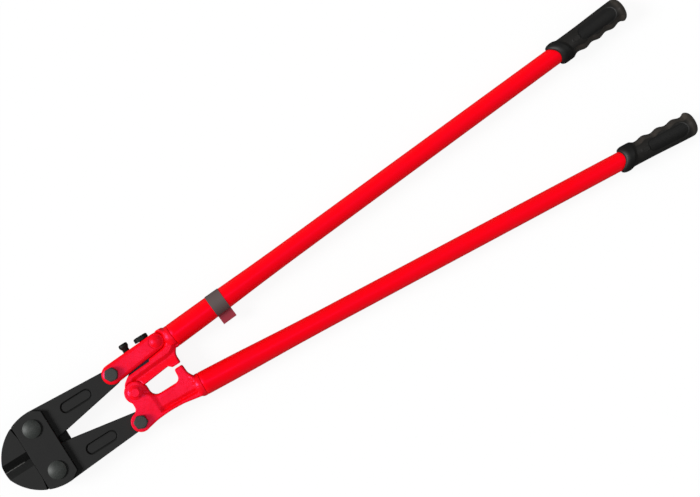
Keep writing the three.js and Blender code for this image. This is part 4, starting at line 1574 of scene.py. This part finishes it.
@dataclass
class Studio:
    """A pale bench, a white room and soft lamps."""

    floor_half: float = 12.0
    floor_drop: float = 0.3 * MM
    bench_shade: float = 0.5
    bench_gloss: float = 0.08
    seen_shade: float = 0.9
    seen_glow: float = 0.9
    world_strength: float = 0.56
    gloss_strength: float = 0.03
    key_from: Place = (-0.76, 0.33, 0.555)
    key_angle: float = math.radians(22)
    key_strength: float = 2.6
    soft_boxes: tuple[SoftBox, ...] = (
        SoftBox("grips", place=(2.4, -0.1, 3.0), size=0.6, power=5.0),
        SoftBox("overhead", place=(-0.2, 0.0, 3.2), size=0.7, power=9.0),
    )
    aim: Place = (0.4, 0.0, 0.0)
    camera_place: Place = (0.2438, 0.0121, 2.3216)
    camera_target: Place = (0.3998, 0.0121, 0.0216)
    camera_roll: float = math.radians(32.12)
    lens: float = 75.66
    sensor: float = 36.0
    clip: Span = (0.1, 50.0)

    def build(self) -> None:
        """Makes the floor, the world, the lamps and the camera."""
        self._floor()
        self._world()
        self._key()
        for box in self.soft_boxes:
            self._lamp(box)
        self._camera()

    def _floor(self) -> None:
        """The bench top, seen white by the camera but for the tool's soft shadow."""
        bm = bmesh.new()
        bmesh.ops.create_grid(bm, x_segments=1, y_segments=1, size=self.floor_half)
        bmesh.ops.translate(bm, verts=bm.verts, vec=(self.aim[0], 0, -self.floor_drop))
        mesh = as_mesh(bm, "floor")
        floor = placed("floor", mesh)
        g = Graph(bpy.data.materials.new("pale_bench"))
        seen = g.ray("Camera")
        plain = g.mix(g.ray("Glossy"), (self.bench_shade,) * 3, (self.bench_gloss,) * 3)
        colour = g.mix(seen, plain, (self.seen_shade,) * 3)
        diffuse = g.node("ShaderNodeBsdfDiffuse", None, {"Color": colour})
        glow = g.node("ShaderNodeEmission", None, {"Color": (1.0, 1.0, 1.0, 1.0), "Strength": 1.0})
        shown = g.node("ShaderNodeMixShader", None, {0: seen * self.seen_glow, 1: diffuse, 2: glow})
        g.end(shown)
        mesh.materials.append(g.owner)

    def _world(self) -> None:
        """An even room: plain light, dim where a gloss sees it, and pure white to the camera."""
        world = bpy.data.worlds.new("room")
        bpy.context.scene.world = world
        world.cycles.sampling_method = "NONE"
        g = Graph(world)
        camera, through = g.ray("Camera"), g.ray("Transmission")
        either = g.node("ShaderNodeMath", {"operation": "MAXIMUM"}, {0: camera, 1: through})
        limits = {"To Min": self.world_strength, "To Max": self.gloss_strength}
        plain = g.node("ShaderNodeMapRange", None, {"Value": g.ray("Glossy"), **limits}, "Result")
        limits = {"To Min": plain, "To Max": 1.0}
        strength = g.node("ShaderNodeMapRange", None, {"Value": either, **limits}, "Result")
        white = (1.0, 1.0, 1.0, 1.0)
        g.end(g.node("ShaderNodeBackground", None, {"Color": white, "Strength": strength}))

    def _key(self) -> None:
        """The main light: a far soft box, low on the jaws' side."""
        data = bpy.data.lights.new("key", "SUN")
        data.energy, data.angle = self.key_strength, self.key_angle
        lamp = placed("key", data)
        lamp.rotation_euler = (-Vector(self.key_from)).to_track_quat("-Z", "Y").to_euler()

    def _lamp(self, box: SoftBox) -> None:
        """Hangs a soft box so that it faces the middle of the tool.

        Args:
            box: The lamp's name, place, size and power.
        """
        data = bpy.data.lights.new(box.name, "AREA")
        data.shape = "RECTANGLE"
        data.size, data.size_y, data.energy = box.size, box.size, box.power
        lamp = placed(box.name, data)
        lamp.location = box.place
        aim = Vector(self.aim) - Vector(box.place)
        lamp.rotation_euler = aim.to_track_quat("-Z", "Y").to_euler()

    def _camera(self) -> None:
        """The camera: nearly straight above, and rolled so that the handles rise to the right."""
        data = bpy.data.cameras.new("camera")
        data.lens, data.sensor_width = self.lens, self.sensor
        data.clip_start, data.clip_end = self.clip
        camera = placed("camera", data)
        place, target = Vector(self.camera_place), Vector(self.camera_target)
        ahead = (target - place).normalized()
        level = Vector((-ahead.z, 0.0, ahead.x))
        right = math.cos(self.camera_roll) * level - math.sin(self.camera_roll) * Vector((0, 1, 0))
        up = math.sin(self.camera_roll) * level + math.cos(self.camera_roll) * Vector((0, 1, 0))
        turned = Matrix((right, up, -ahead)).transposed().to_4x4()
        camera.matrix_world = Matrix.Translation(place) @ turned
        bpy.context.scene.camera = camera


# ---------------------------------------------------------------- the tool


def main() -> None:
    """Builds every sub-assembly in order."""
    logging.basicConfig(level=logging.INFO, format="%(name)s: %(message)s")
    bpy.context.scene.view_settings.view_transform = "Standard"
    Studio().build()
    JawSet().build()
    Castings().build()
    Fasteners().build()
    for side in Side:
        handle = Handle(side)
        handle.build()
        if side is Side.UPPER:
            Label(handle).build()


if __name__ == "__main__":
    main()
